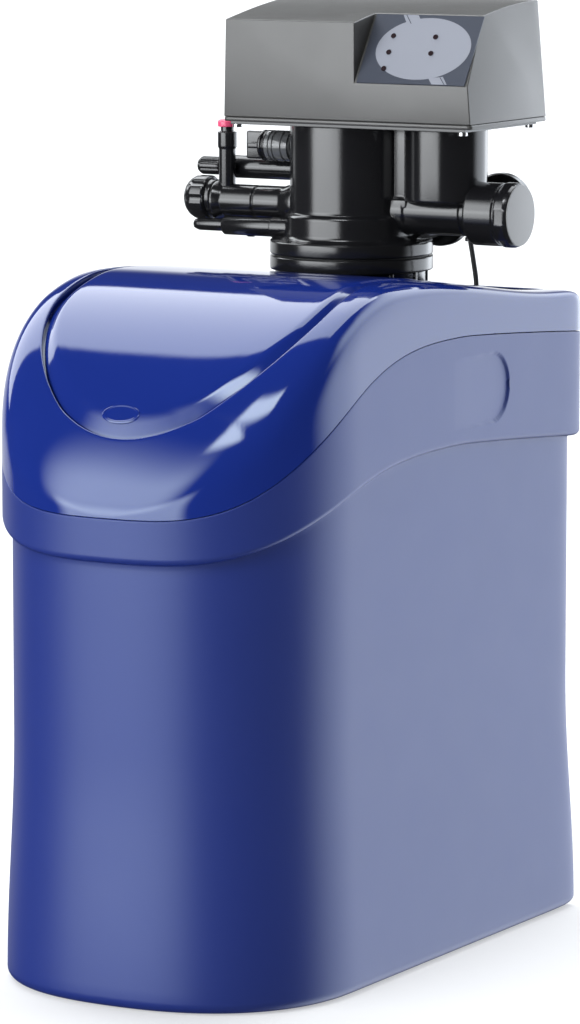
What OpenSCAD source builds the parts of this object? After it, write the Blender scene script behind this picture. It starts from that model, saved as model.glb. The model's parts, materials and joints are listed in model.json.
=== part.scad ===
// Compact cabinet water softener: brine cabinet, resin tank, rotary valve and control head.
// Millimetres, +Z up, front is -Y, origin at the bottom centre.

/* [Cabinet] */
// Width of the cabinet below the band
cab_w = 224; // [210:1:250]
// Depth of the cabinet below the band
cab_d = 403; // [395:1:440]
// Depth of the rounded front of the plan
nose_len = 105.5; // [90:0.5:120]
// Squareness of the rounded front
front_n = 2.36; // [2:0.02:2.8]
// Squareness of the rear corners
rear_n = 48; // [24:1:60]
// How far the foot of the cabinet flares out
flare = 5; // [2:0.5:8]
// Height over which the flare fades out
flare_h = 160; // [120:5:200]
// Wall of the cabinet
wall = 4; // [3:0.5:5]
// Thickness of the cabinet floor
floor_t = 5; // [4:0.5:8]
// How far the band stands proud of the wall
band_proud = 6; // [4:0.5:8]
// Radius of the lower edge of the band
band_edge_r = 4; // [2:0.5:5]
// Height of the lower edge of the band at the front
band_front_z = 277; // [268:1:282]
// Rise of the lower edge of the band to its peak
band_rise = 52.5; // [45:0.5:58]
// Height of the seam under the top cover at the front
seam_front_z = 304.5; // [300:0.5:308]
// Rise of the seam to its peak
seam_rise = 94.5; // [88:0.5:98]
// Fall of both curves behind their peak
wave_fall = 12; // [6:1:14]
// Where both curves peak, from the middle towards the back
wave_peak_y = 37; // [25:1:50]
// Radius of the finger recess in each side of the band
grip_r = 22.5; // [18:0.5:24]
// Height of the middle of the finger recess
grip_z = 362.5; // [358:0.5:366]
// Place of the finger recess from the middle towards the back
grip_y = 77; // [70:1:90]
// Run of the finger recess from its shallow front to its round end
grip_run = 52; // [44:1:60]
// Slant of the finger recess, deepest at its rear edge
grip_tilt = 2; // [1:0.25:3]
// Radius of the overflow hole in the rear wall
overflow_r = 9; // [7:0.5:12]
// Height of the overflow hole
overflow_z = 250; // [200:1:260]
// Distance of the overflow hole left of the middle
overflow_x = 75; // [72:1:80]

/* [Top cover] */
// Wall of the top cover
cover_wall = 3.2; // [2.4:0.2:4]
// Height of the crest of the top cover
crest_z = 439; // [434:1:446]
// Where the crest peaks, from the middle towards the back
crest_y = -46.5; // [-60:0.5:-36]
// Height of the top cover at the rear
deck_z = 415; // [412:0.5:420]
// Open line between cabinet and top cover
seam_gap = 0.4; // [0.2:0.1:0.6]
// Width of the rim beside the lid and the valve well
rim_w = 20.5; // [18:0.5:24]
// Width of the lip under the lid
lip_w = 8; // [6:0.5:10]
// Thickness of the lip under the lid
lip_t = 2.5; // [2:0.5:4]
// Depth of the lip below the rim
lip_depth = 3; // [2.5:0.5:5]
// Width of the rim behind the valve well
rear_rim = 17.5; // [14:0.5:22]
// Height of the lip that carries the valve well plate
well_z = 404; // [400:1:406]
// Thickness of the valve well plate
well_t = 3; // [2:0.5:4]

/* [Salt lid] */
// Depth of the rounded tongue of the lid
lid_nose = 90.2; // [86:0.2:93]
// Squareness of the rounded tongue
lid_n = 2; // [1.9:0.02:2.4]
// Gap between the rear edge of the lid and the valve flange
lid_back = 20; // [16:1:28]
// Open channel round the lid
lid_gap = 1.6; // [1.2:0.1:2.5]
// Thickness of the lid
lid_t = 2.4; // [2:0.2:3.2]
// How far the lid stands proud
lid_proud = 0.6; // [0:0.2:1.2]
// Distance of the hinge axis in front of the lid's rear edge
hinge_back = 8; // [6:0.5:10]
// Depth of the hinge axis below the lid
hinge_drop = 10; // [9:0.5:12]
// Radius of the hinge pin
hinge_pin_r = 2; // [1.5:0.25:3]
// Distance of each hinge from the middle
hinge_x = 45; // [30:1:60]
// Width of each hinge arm
arm_w = 10; // [8:1:14]

/* [Resin tank] */
// Gap between the resin tank and the rear wall
tank_back = 7; // [4:0.5:10]
// Radius of the resin tank
tank_r = 89; // [80:0.5:92]
// Wall of the resin tank
tank_wall = 3.5; // [2.5:0.5:5]
// Height of the top of the tank neck
tank_top = 412; // [408:1:416]
// Height of the domed ends
tank_dome = 48; // [40:1:56]
// Radius of the tank neck
tank_neck_r = 38; // [36:0.5:40]
// Opening of the tank neck
tank_mouth_r = 31.5; // [30:0.5:33]
// Radius of the riser tube
riser_r = 13.5; // [11:0.5:14]
// Wall of the riser tube
riser_wall = 2; // [1.5:0.5:3]
// Height of the top of the resin bed
bed_top = 300; // [240:1:320]
// Height of the boot under the tank
boot_h = 34; // [26:1:40]

/* [Valve] */
// Radius of the two flanges
flange_r = 53.5; // [50:0.5:56]
// Radius of the skirt under the flanges
skirt_r = 46.7; // [44:0.1:48]
// Height of the underside of the lower flange
flange_z = 432; // [428:1:436]
// Thickness of each flange
flange_t = 9; // [7:0.5:10]
// Thickness of the seal between the flanges
seal_t = 1; // [0.5:0.25:2]
// Radius of the ring over the flanges
ring_r = 43.8; // [42:0.2:46]
// Height of the ring over the flanges
ring_h = 17; // [14:1:20]
// Radius of the valve column
column_r = 40.5; // [38:0.5:42]
// Radius of the disc chamber in the column
chamber_r = 30; // [27:0.5:32]
// Height of the top of the valve column
column_top = 527; // [526:0.5:528]
// Radius of the outlet tower
tower_r = 26.8; // [24:0.2:28]
// Distance of the outlet tower from the column axis
tower_x = 70; // [68:0.5:74]
// Height of the side ports
port_z = 471.5; // [470:0.5:474]
// Radius of the meter pipe
pipe_r = 15; // [14:0.5:16]
// Half of the valve's width over the knob and the meter cap
half_span = 124.5; // [123:0.5:130]
// Radius of the meter cap
cap_r = 21; // [18.5:0.5:22]
// Length of the meter cap
cap_len = 32.5; // [30:0.5:36]
// Radius of the turbine
turbine_r = 12.5; // [10:0.5:13.5]
// Thread radius of the rear ports, three quarter inch pipe thread
thread_r = 13.22; // [10:0.01:16]
// Bore radius of the rear ports
port_bore_r = 9.5; // [7:0.5:10.5]
// Reach of the rear ports behind the tank axis
port_reach = 72; // [66:1:80]
// Distance of the outlet port from the column axis
outlet_x = 80; // [78:0.5:82]
// How much lower the inlet port is than the outlet port
inlet_drop = 6; // [3:0.5:7]
// Radius of the nuts on the rear ports
nut_r = 22; // [20:0.5:23]

/* [Left fittings] */
// Height of the injector tube
inj_z = 474; // [473:0.5:476]
// Radius of the injector tube
inj_r = 8.2; // [7:0.1:8.5]
// Where the injector tube is joined, left of the axis
inj_joint = 70; // [66:1:74]
// Radius of the mixing knob
knob_r = 14.6; // [13:0.2:15]
// Length of the mixing knob
knob_len = 22.5; // [18:0.5:26]
// Grip flutes round the mixing knob
knob_flutes = 10; // [6:1:14]
// Height of the drain spigot
drain_z = 454; // [452:0.5:455]
// Radius of the drain spigot
drain_r = 4.7; // [4:0.1:4.8]
// Reach of the drain spigot left of the axis
drain_reach = 113; // [108:1:118]
// Place of the drain spigot in front of the tank axis
drain_y = 10; // [8:0.5:14]
// Height of the refill adjuster
adj_z = 494; // [493.5:0.5:497]
// Place of the refill adjuster behind the tank axis
adj_y = 13; // [11:0.5:16]
// Radius of the refill adjuster
adj_r = 6; // [5:0.25:7]
// Height of the clear screen bowl
bowl_z = 510; // [509:0.5:512]
// Radius of the clear screen bowl
bowl_r = 9.2; // [7:0.2:9.4]
// Length of the clear screen bowl
bowl_len = 17; // [14:0.5:18]
// Length of the bowl's wing cap
bowl_cap_len = 18; // [14:0.5:19]
// Distance of the vent stem from the mixing knob
vent_in = 5; // [4.5:0.5:8]
// Radius of the vent stem
vent_r = 3; // [2.5:0.25:3.5]
// Height of the top of the vent stem
vent_top = 522; // [516:1:524]
// Radius of the red vent button
button_r = 2.4; // [1.6:0.1:2.6]
// Travel of the vent button
button_travel = 3; // [2:0.5:4]

/* [Control head] */
// Left side of the head cover
head_x0 = -66; // [-70:1:-62]
// Right side of the head cover
head_x1 = 113; // [109:1:120]
// Depth of the head cover
head_d = 105; // [98:1:110]
// Height of the lower edge of the head cover
head_z0 = 529; // [528:0.5:531]
// Height of the top of the head cover at the front
head_front_z = 595; // [590:1:600]
// Rise of the top of the head cover to the rear
head_rise = 12; // [4:1:14]
// Wall of the head cover
head_wall = 3; // [2:0.5:4]
// Left end of the sloped panel
panel_x0 = 31; // [28:1:40]
// Height of the lower edge of the sloped panel
panel_z = 556; // [550:1:562]
// Depth by which the panel leans back
panel_lean = 28; // [20:1:32]
// Thickness of the panel label
label_t = 0.8; // [0.4:0.2:1.2]
// Radius of the indicator lenses
lens_r = 1.7; // [1.2:0.1:2.4]
// Thickness of the base plate of the head
base_t = 5; // [4:0.5:6]
// Distance of the motor from the rotor axis
gear_span = 46; // [40:1:50]
// Teeth on the motor pinion
pinion_teeth = 10; // [9:1:12]
// Teeth on the drive gear
gear_teeth = 36; // [32:1:40]
// Thickness of both gears
gear_h = 8; // [6:1:10]
// Radius of the rotor shaft
shaft_r = 6; // [5:0.5:7]
// Radius of the cover screws
screw_r = 1.5; // [1.25:0.25:2]

/* [Brine parts] */
// Radius of the brine well
brine_r = 34; // [30:0.5:36]
// Wall of the brine well
brine_wall = 2.5; // [2:0.5:3.5]
// Place of the brine well right of the middle
brine_x = 68; // [66:1:70]
// Gap between the brine well and the resin tank
brine_gap = 9.3; // [8:0.1:13]
// Height of the top of the brine well
brine_top = 340; // [325:1:344]
// Height of the salt grid
grid_z = 60; // [50:1:80]
// Thickness of the salt grid
grid_t = 4; // [3:0.5:6]
// Radius of the float
float_r = 17; // [14:0.5:18]
// Height of the float
float_h = 40; // [30:1:50]
// Height of the float when the brine is low
float_z = 110; // [80:1:140]
// Travel of the float between its stops
float_travel = 70; // [50:1:90]
// Radius of the float rod
rod_r = 2.5; // [2:0.25:3]
// Radius of the brine tube
tube_r = 3.2; // [2.5:0.1:3.5]
// Radius of the probe lead
lead_r = 1.6; // [1.2:0.1:2]

/* [Fits] */
// Running clearance on shafts and pins
run_gap = 0.06; // [0.03:0.01:0.1]
// Clearance between parts that are only laid together
lay_gap = 0.3; // [0.2:0.05:0.4]

/* [Hidden] */
$fn = 64;

blue = [0.12, 0.18, 0.5];
black = [0.1, 0.1, 0.1];
grey = [0.5, 0.5, 0.5];
clear = [0.75, 0.77, 0.78];
white = [0.9, 0.9, 0.88];
steel = [0.7, 0.71, 0.73];

// Plan of the cabinet, shared by the cabinet, the cover and the lid
half_w = cab_w/2;
nose_y = nose_len - cab_d/2;
rear_len = cab_d - nose_len;
nose_steps = 36;
side_stops = [0.08, 0.18, 0.28, 0.37, 0.46, 0.56, 0.68, 0.8, 0.9, 0.96, 0.984];
rear_stops = [0.966, 0.88, 0.4, 0, -0.4, -0.88, -0.966];

// Half superellipse value at share t of its length, with squareness e
function arc_share(t, e) = pow(1 - pow(abs(t), e), 1/e);
function signed_pow(v, e) = sign(v)*pow(abs(v), e);

// Closed plan curve, anticlockwise from the left end of the nose
function plan_curve(a, b, r, nf, nr) = concat(
    [for (i = [0:nose_steps]) let (t = 180 + 180*i/nose_steps)
        [a*signed_pow(cos(t), 2/nf), nose_y + b*signed_pow(sin(t), 2/nf)]],
    [for (t = side_stops) [a*arc_share(t, nr), nose_y + r*t]],
    [for (u = rear_stops) [a*u, nose_y + r*arc_share(u, nr)]],
    [for (i = [len(side_stops) - 1:-1:0])
        [-a*arc_share(side_stops[i], nr), nose_y + r*side_stops[i]]]);
function cabinet_plan(d) = plan_curve(half_w + d, nose_len + d, rear_len + d, front_n, rear_n);

// Curves of the seam and the band along the depth
front_y = -cab_d/2 - band_proud;
back_y = cab_d/2 + band_proud;
function climb(t) = pow(1 - pow(1 - min(1, t), 3), 1.64);
function wave(y, front_z, rise) =
    front_z + rise*climb((y - front_y)/(wave_peak_y - front_y))
    - wave_fall*pow(max(0, (y - wave_peak_y)/(back_y - wave_peak_y)), 1.2);
function seam_z(y) = wave(y, seam_front_z, seam_rise);
function band_z(y) = wave(y, band_front_z, band_rise);
function flare_at(z) = flare*(1 + cos(180*min(1, z/flare_h)))/2;

// Height of the domed top at a point of the plan, sunk by a wall
function fall_share(t, e, f) = pow(max(0, 1 - pow(min(1, t), e)), 1/f);
function crest_at(y, sink) = y < crest_y
    ? seam_front_z + (crest_z - sink - seam_front_z)
        *fall_share((crest_y - y)/(crest_y - front_y - sink), 1.86, 1.47)
    : deck_z - sink + (crest_z - deck_z)*(1 + cos(180*min(1, (y - crest_y)/(back_y - crest_y))))/2;
function dome_z(x, y, sink = 0) =
    let (out = band_proud - sink,
         ahead = max(0, nose_y - y)/(nose_len + out),
         behind = max(0, y - nose_y)/(rear_len + out),
         across = abs(x)/(half_w + out),
         side = max(0.0001, fall_share(ahead, front_n, front_n)),
         reach = ahead > 0 ? across/side
             : pow(pow(across, rear_n) + pow(behind, rear_n), 1/rear_n),
         m = max(2, 11.7 - 13.7*ahead + 25*pow(behind, 2)),
         k = 8.1 - 4.26*ahead + pow(behind, 2))
    seam_z(y) + (crest_at(y, sink) - seam_z(y))*fall_share(reach, m, k);

// Rings of points joined into one closed skin
function ring_faces(n, a, b) = [for (i = [0:n - 1]) let (j = (i + 1) % n)
    each [[a*n + i, b*n + i, a*n + j], [a*n + j, b*n + i, b*n + j]]];
function lifted(ring, z) = [for (p = ring) [p[0], p[1], z]];
function middle(ring) = [for (k = [0:2]) [for (p = ring) p[k]]*[for (p = ring) 1]]/len(ring);
module tube_skin(rings, closed = false) {
    n = len(rings[0]);
    count = len(rings);
    last = closed ? count - 1 : count - 2;
    body = [for (k = [0:last]) each ring_faces(n, k, (k + 1) % count)];
    end = (count - 1)*n;
    caps = closed ? [] : [for (i = [0:n - 1]) let (j = (i + 1) % n)
        each [[i, j, count*n], [end + j, end + i, count*n + 1]]];
    middles = closed ? [] : [middle(rings[0]), middle(rings[count - 1])];
    polyhedron(concat([for (r = rings) each r], middles), concat(body, caps), convexity = 8);
}

// Straight way between two points, and a round sweep along a list of points
function unit(v) = v/norm(v);
function heading(path, i) =
    unit(path[min(i + 1, len(path) - 1)] - path[max(i - 1, 0)]);
module sweep(path, r, sides = 8) {
    rings = [for (i = [0:len(path) - 1]) let (
        h = heading(path, i),
        side = unit(cross(h, abs(h[0]) < 0.9 ? [1, 0, 0] : [0, 1, 0])),
        up = cross(h, side))
        [for (k = [0:sides - 1]) path[i] + r*(cos(-360*k/sides)*side + sin(-360*k/sides)*up)]];
    tube_skin(rings);
}
module along_x(x0, x1, r) translate([x0, 0, 0]) rotate([0, 90, 0]) cylinder(h = x1 - x0, r = r);
module along_y(y0, y1, r) translate([0, y0, 0]) rotate([-90, 0, 0]) cylinder(h = y1 - y0, r = r);
module ring(h, r, bore) difference() {
    cylinder(h = h, r = r);
    translate([0, 0, -1]) cylinder(h = h + 2, r = bore);
}
module at_tank(z) translate([0, tank_y, z]) children();

// Places worked out from the driving sizes
tank_y = cab_d/2 - wall - tank_back - tank_r;
lid_rear_y = tank_y - flange_r - lid_back;
brine_y = tank_y - sqrt(pow(tank_r + brine_r + brine_gap, 2) - pow(brine_x, 2));
open_w = half_w + band_proud - rim_w;
lid_half_w = open_w - lid_gap;
open_nose = lid_nose + lid_gap;
open_rear = back_y - rear_rim - nose_y;
hinge_y = lid_rear_y - hinge_back;
hinge_z = dome_z(hinge_x, hinge_y) - hinge_drop;
well_step_y = hinge_y - 14;
well_half_w = open_w - lid_gap;
well_rear_y = nose_y + open_rear - lid_gap;
well_front_y = hinge_y - 6;
plate_z = well_z + lay_gap;
plate_top = plate_z + well_t;
valve_z = flange_z + flange_t + seal_t;
ring_z = valve_z + flange_t;
body_z = ring_z + ring_h;
chamber_z = body_z + 2;
disc_t = 6;
cap_x0 = half_span - cap_len;
knob_x = half_span - knob_len;
vent_x = knob_x - vent_in;
head_y0 = tank_y - head_d/2;
head_y1 = tank_y + head_d/2;
base_z = column_top;
base_top = base_z + base_t;
panel_tilt = atan2(head_top(head_y0 + panel_lean) - panel_z, panel_lean);
panel_len = norm([panel_lean, head_top(head_y0 + panel_lean) - panel_z]);
function head_top(y) = head_front_z + head_rise*sin(90*min(1, max(0, (y - head_y0)/head_d)));
pitch = gear_span/(pinion_teeth + gear_teeth);
motor_h = 22;
gear_z = base_top + motor_h + 2;
well_floor = floor_t + lay_gap;
port_body_r = 16;

// Routes of the two lines inside the cabinet, chosen by hand
tube_foot_y = brine_y + 25;
probe_y = brine_y - 24;
brine_route = [
    [brine_x, tube_foot_y, 46], [brine_x, tube_foot_y, 120], [brine_x, tube_foot_y, 200],
    [brine_x, tube_foot_y, 280], [brine_x, tube_foot_y, 338], [69, 15, 350], [73, 21, 359],
    [80, 31, 365], [89, 46, 370], [96, 70, 374], [98.5, 101, 378], [94, 134, 383],
    [78, 160, 387], [54, 177, 390], [26, 184, 392], [0, 183, 394], [-19, 178, 397],
    [-26, 173, 402], [-28, 171, 410], [-28, 170, 425], [-28, 169, 440], [-28, 166, 450],
    [-28, 160, 457], [-28, 154, 459], [-28, 149, 459]];
lead_route = [
    [cap_x0 - 7.5, tank_y + 6.5, port_z - port_body_r - 3], [cap_x0 - 7, tank_y + 7.5, 447],
    [cap_x0 - 6.5, tank_y + 9.5, 438], [cap_x0 - 6, tank_y + 11.5, 428],
    [cap_x0 - 6, tank_y + 12.5, 418], [cap_x0 - 6, tank_y + 12.5, 409],
    [cap_x0 - 6, tank_y + 12.5, 402], [87, 110, 395], [90, 100, 390], [94, 84, 388],
    [94, 62, 387], [90, 38, 386], [82, 12, 384], [74, -12, 380], [69, -28, 374],
    [brine_x, probe_y + 1, 366], [brine_x, probe_y, 358]];

// Profile of the cabinet wall from the foot to the seam, and back down inside
function tub_ring(d, z) = lifted(cabinet_plan(d), z);
function edge_ring(d, rise) = [for (p = cabinet_plan(d)) [p[0], p[1], band_z(p[1]) + rise]];
function rim_ring(d) =
    let (outer = cabinet_plan(band_proud))
    [for (i = [0:len(outer) - 1]) let (p = cabinet_plan(d)[i]) [p[0], p[1], seam_z(outer[i][1])]];
foot_r = 7;
module cabinet_tub() color(blue) difference() {
    tube_skin(concat(
        [for (t = [0:22.5:90]) tub_ring(flare - foot_r*(1 - sin(t)), foot_r*(1 - cos(t)))],
        [for (t = [0.15:0.17:1]) tub_ring(flare_at(flare_h*t), flare_h*t)],
        [edge_ring(0, 0)],
        [for (t = [0:30:90])
            edge_ring(band_proud - band_edge_r*(1 - sin(t)), band_edge_r*(1 - cos(t)))],
        [rim_ring(band_proud), rim_ring(-wall)],
        [edge_ring(-wall, -wall)],
        [for (t = [1:-0.25:0.25]) tub_ring(flare_at(flare_h*t) - wall, flare_h*t)],
        [tub_ring(flare - wall - foot_r/2, floor_t)]));
    for (side = [-1, 1]) finger_recess(side);
    at_overflow() along_y(cab_d/2 - 2*wall, back_y, overflow_r);
}
module finger_recess(side) mirror([side < 0 ? 1 : 0, 0, 0])
    translate([half_w + band_proud, grip_y - grip_run, grip_z]) rotate([0, 0, grip_tilt]) {
    translate([0, grip_run, 0]) along_x(0, 4*band_proud, grip_r);
    translate([0, 0, -grip_r]) cube([4*band_proud, grip_run, 2*grip_r]);
}
module at_overflow() translate([-overflow_x, 0, overflow_z]) children();

lip_root = 0.86;
module top_cover() color(blue) {
    outer = cabinet_plan(band_proud);
    inner = cabinet_plan(band_proud - cover_wall);
    mouth = plan_curve(open_w, open_nose, open_rear, lid_n, rear_n);
    lip = plan_curve(open_w - lip_w, open_nose - lip_w, open_rear - lip_w, lid_n, rear_n);
    n = len(outer);
    lip_z = [for (p = mouth) p[1] > well_step_y ? well_z : dome_z(p[0], p[1]) - lip_depth];
    tube_skin(concat(
        [for (t = [0, 0.0015, 0.008, 0.025, 0.06, 0.12, 0.22, 0.36, 0.55, 0.78, 1])
            [for (i = [0:n - 1]) let (p = outer[i] + t*(mouth[i] - outer[i]))
                [p[0], p[1], dome_z(p[0], p[1]) + seam_gap]]],
        [[for (i = [0:n - 1]) [mouth[i][0], mouth[i][1], lip_z[i]]]],
        [[for (i = [0:n - 1]) [lip[i][0], lip[i][1], lip_z[i]]]],
        [[for (i = [0:n - 1]) [lip[i][0], lip[i][1], lip_z[i] - lip_t]]],
        [[for (i = [0:n - 1]) let (p = inner[i] + lip_root*(mouth[i] - inner[i]))
            [p[0], p[1], min(lip_z[i] - lip_t, dome_z(p[0], p[1], cover_wall))]]],
        [for (t = [0.6, 0.3, 0.12, 0.04, 0.01, 0])
            [for (i = [0:n - 1]) let (p = inner[i] + t*(mouth[i] - inner[i]))
                [p[0], p[1], dome_z(p[0], p[1], cover_wall) + seam_gap]]]), closed = true);
}

// Plate in the valve well, with the ears that carry the lid's hinge pin
ear_t = 4;
ear_r = 6;
grommet_hole = 4.2;
tube_hole = tube_r + 2.8;
pin_half = hinge_x + arm_w/2 + lay_gap + ear_t;
module well_plate() color(black) difference() {
    union() {
        intersection() {
            translate([0, 0, plate_z]) linear_extrude(well_t)
                polygon(plan_curve(well_half_w, open_nose, well_rear_y - nose_y, lid_n, rear_n));
            translate([-half_w, well_front_y, plate_z - 1]) cube([cab_w, cab_d, well_t + 2]);
        }
        for (x = [-1, 1]*hinge_x, s = [-1, 1]) hinge_ear(x + s*(arm_w/2 + lay_gap + ear_t/2));
    }
    translate([0, hinge_y, hinge_z]) along_x(-half_w, half_w, hinge_pin_r + run_gap);
    at_tank(plate_z - 1) cylinder(h = well_t + 2, r = skirt_r + lay_gap);
    translate([brine_route[18][0], brine_route[18][1], plate_z - 1])
        cylinder(h = well_t + 2, r = tube_hole);
    at_grommet(plate_z - 1) cylinder(h = well_t + 2, r = grommet_hole);
}
module hinge_ear(x) {
    translate([x - ear_t/2, hinge_y - ear_r, plate_z]) cube([ear_t, 2*ear_r, hinge_z - plate_z]);
    translate([x, hinge_y, hinge_z]) along_x(-ear_t/2, ear_t/2, ear_r);
}
module at_grommet(z) translate([lead_route[5][0], lead_route[5][1], z]) children();

module hinge_pin() color(steel) translate([0, hinge_y, hinge_z])
    along_x(-pin_half, pin_half, hinge_pin_r);

// Salt lid: a patch of the dome with its own rounded edge
lid_mid_y = -70;
lid_sink = lid_t - lid_proud;
module salt_lid() color(blue) {
    edge = plan_curve(lid_half_w, lid_nose, lid_rear_y - nose_y, lid_n, rear_n);
    tube_skin(concat(
        [for (t = [0.1, 0.3, 0.5, 0.7, 0.85, 0.95, 1]) lid_ring(edge, t, lid_sink)],
        [lid_ring(edge, 1, lid_sink/2)],
        [for (t = [0.985, 0.95, 0.85, 0.7, 0.5, 0.3, 0.1]) lid_ring(edge, t, -lid_proud)]));
}
function lid_ring(edge, t, sink) = [for (p = edge)
    let (x = t*p[0], y = lid_mid_y + t*(p[1] - lid_mid_y)) [x, y, dome_z(x, y, sink)]];

arm_len = 34;
eye_r = 5.5;
arm_top = dome_z(hinge_x + arm_w/2, hinge_y + eye_r, lid_sink) - 2*lay_gap;
module lid_hinge_arms() color(blue) difference() {
    for (x = [-1, 1]*hinge_x) translate([x - arm_w/2, hinge_y, 0]) {
        translate([0, -arm_len, arm_top - lid_t]) cube([arm_w, arm_len, lid_t]);
        translate([0, -eye_r, hinge_z]) cube([arm_w, 2*eye_r, arm_top - hinge_z]);
        translate([0, 0, hinge_z]) along_x(0, arm_w, eye_r);
    }
    translate([0, hinge_y, hinge_z]) along_x(-half_w, half_w, hinge_pin_r + run_gap);
}

// Overflow fitting through the rear wall
bush_flange = 5;
bush_nut_t = 5;
nut_face = cab_d/2 - wall - 2*lay_gap;
module overflow_bush() color(black) at_overflow() difference() {
    union() {
        along_y(cab_d/2 - wall - 2*bush_nut_t, cab_d/2, overflow_r - lay_gap);
        along_y(cab_d/2, back_y - 1, overflow_r + bush_flange);
    }
    along_y(0, back_y, overflow_r - 2.5);
}
module overflow_nut() color(black) at_overflow() difference() {
    along_y(nut_face - bush_nut_t, nut_face, overflow_r + bush_flange);
    along_y(0, back_y, overflow_r);
}

// Resin tank with domed ends, in a boot
boot_floor = 4;
tank_z = well_floor + boot_floor;
neck_h = 16;
shoulder_z = tank_top - neck_h - tank_dome*sin(acos(tank_neck_r/tank_r));
dome_steps = 9;
function low_dome(grow) = [for (i = [0:dome_steps]) let (t = 90*i/dome_steps)
    [(tank_r + grow)*sin(t), tank_z + tank_dome - (tank_dome + grow)*cos(t)]];
function high_dome(grow, mouth) = let (top = acos(mouth/(tank_r + grow)))
    [for (i = [0:dome_steps]) let (t = top*i/dome_steps)
        [(tank_r + grow)*cos(t), shoulder_z + (tank_dome + grow)*sin(t)]];
function backwards(list) = [for (i = [len(list) - 1:-1:0]) list[i]];
module resin_tank() color(black) at_tank(0) rotate_extrude() polygon(concat(
    low_dome(0), high_dome(0, tank_neck_r),
    [[tank_neck_r, tank_top], [tank_mouth_r, tank_top]],
    backwards(high_dome(-tank_wall, tank_mouth_r)), backwards(low_dome(-tank_wall))));

boot_r = tank_r - 6;
module tank_boot() color(black) at_tank(0) difference() {
    translate([0, 0, well_floor]) cylinder(h = boot_h, r = boot_r);
    rotate_extrude() polygon(concat(low_dome(lay_gap), [[0, tank_z + tank_dome]]));
}

strainer_r = 22;
strainer_h = 40;
strainer_z = tank_z + tank_wall + 2.5;
riser_foot = strainer_z + strainer_h/2;
riser_top = valve_z + 20;
module resin_bed() color([0.7, 0.45, 0.15]) at_tank(0) rotate_extrude() polygon(concat(
    [for (p = low_dome(-tank_wall - lay_gap)) if (p[0] > strainer_r + 1) p],
    [[tank_r - tank_wall - lay_gap, bed_top], [riser_r + lay_gap, bed_top],
     [riser_r + lay_gap, strainer_z + strainer_h + lay_gap],
     [strainer_r + lay_gap, strainer_z + strainer_h + lay_gap],
     [strainer_r + lay_gap, tank_z + tank_wall + 6]]));
module riser_tube() color(white) at_tank(riser_foot)
    ring(riser_top - riser_foot, riser_r, riser_r - riser_wall);
module bottom_strainer() color(white) at_tank(strainer_z) difference() {
    cylinder(h = strainer_h, r = strainer_r);
    translate([0, 0, strainer_h/2]) cylinder(h = strainer_h, r = riser_r + run_gap);
}
basket_drop = 44;
module top_strainer() color(white) at_tank(tank_top - basket_drop)
    ring(valve_z - tank_top + basket_drop - lay_gap, tank_mouth_r - 1, riser_r + run_gap);

// Adapter that screws on the tank neck, and the seal on it
module tank_adapter() color(black) at_tank(0) difference() {
    union() {
        translate([0, 0, tank_top - neck_h + 2]) cylinder(h = flange_z - tank_top + neck_h, r = skirt_r);
        translate([0, 0, flange_z]) cylinder(h = flange_t, r = flange_r);
    }
    translate([0, 0, tank_top - neck_h]) cylinder(h = neck_h, r = tank_neck_r + lay_gap);
    translate([0, 0, tank_top - 1]) cylinder(h = flange_z, r = tank_mouth_r + 0.5);
}
seal_r = flange_r - 3;
module flange_seal() color(black) at_tank(flange_z + flange_t) ring(seal_t, seal_r, seal_r - 8);

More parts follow.
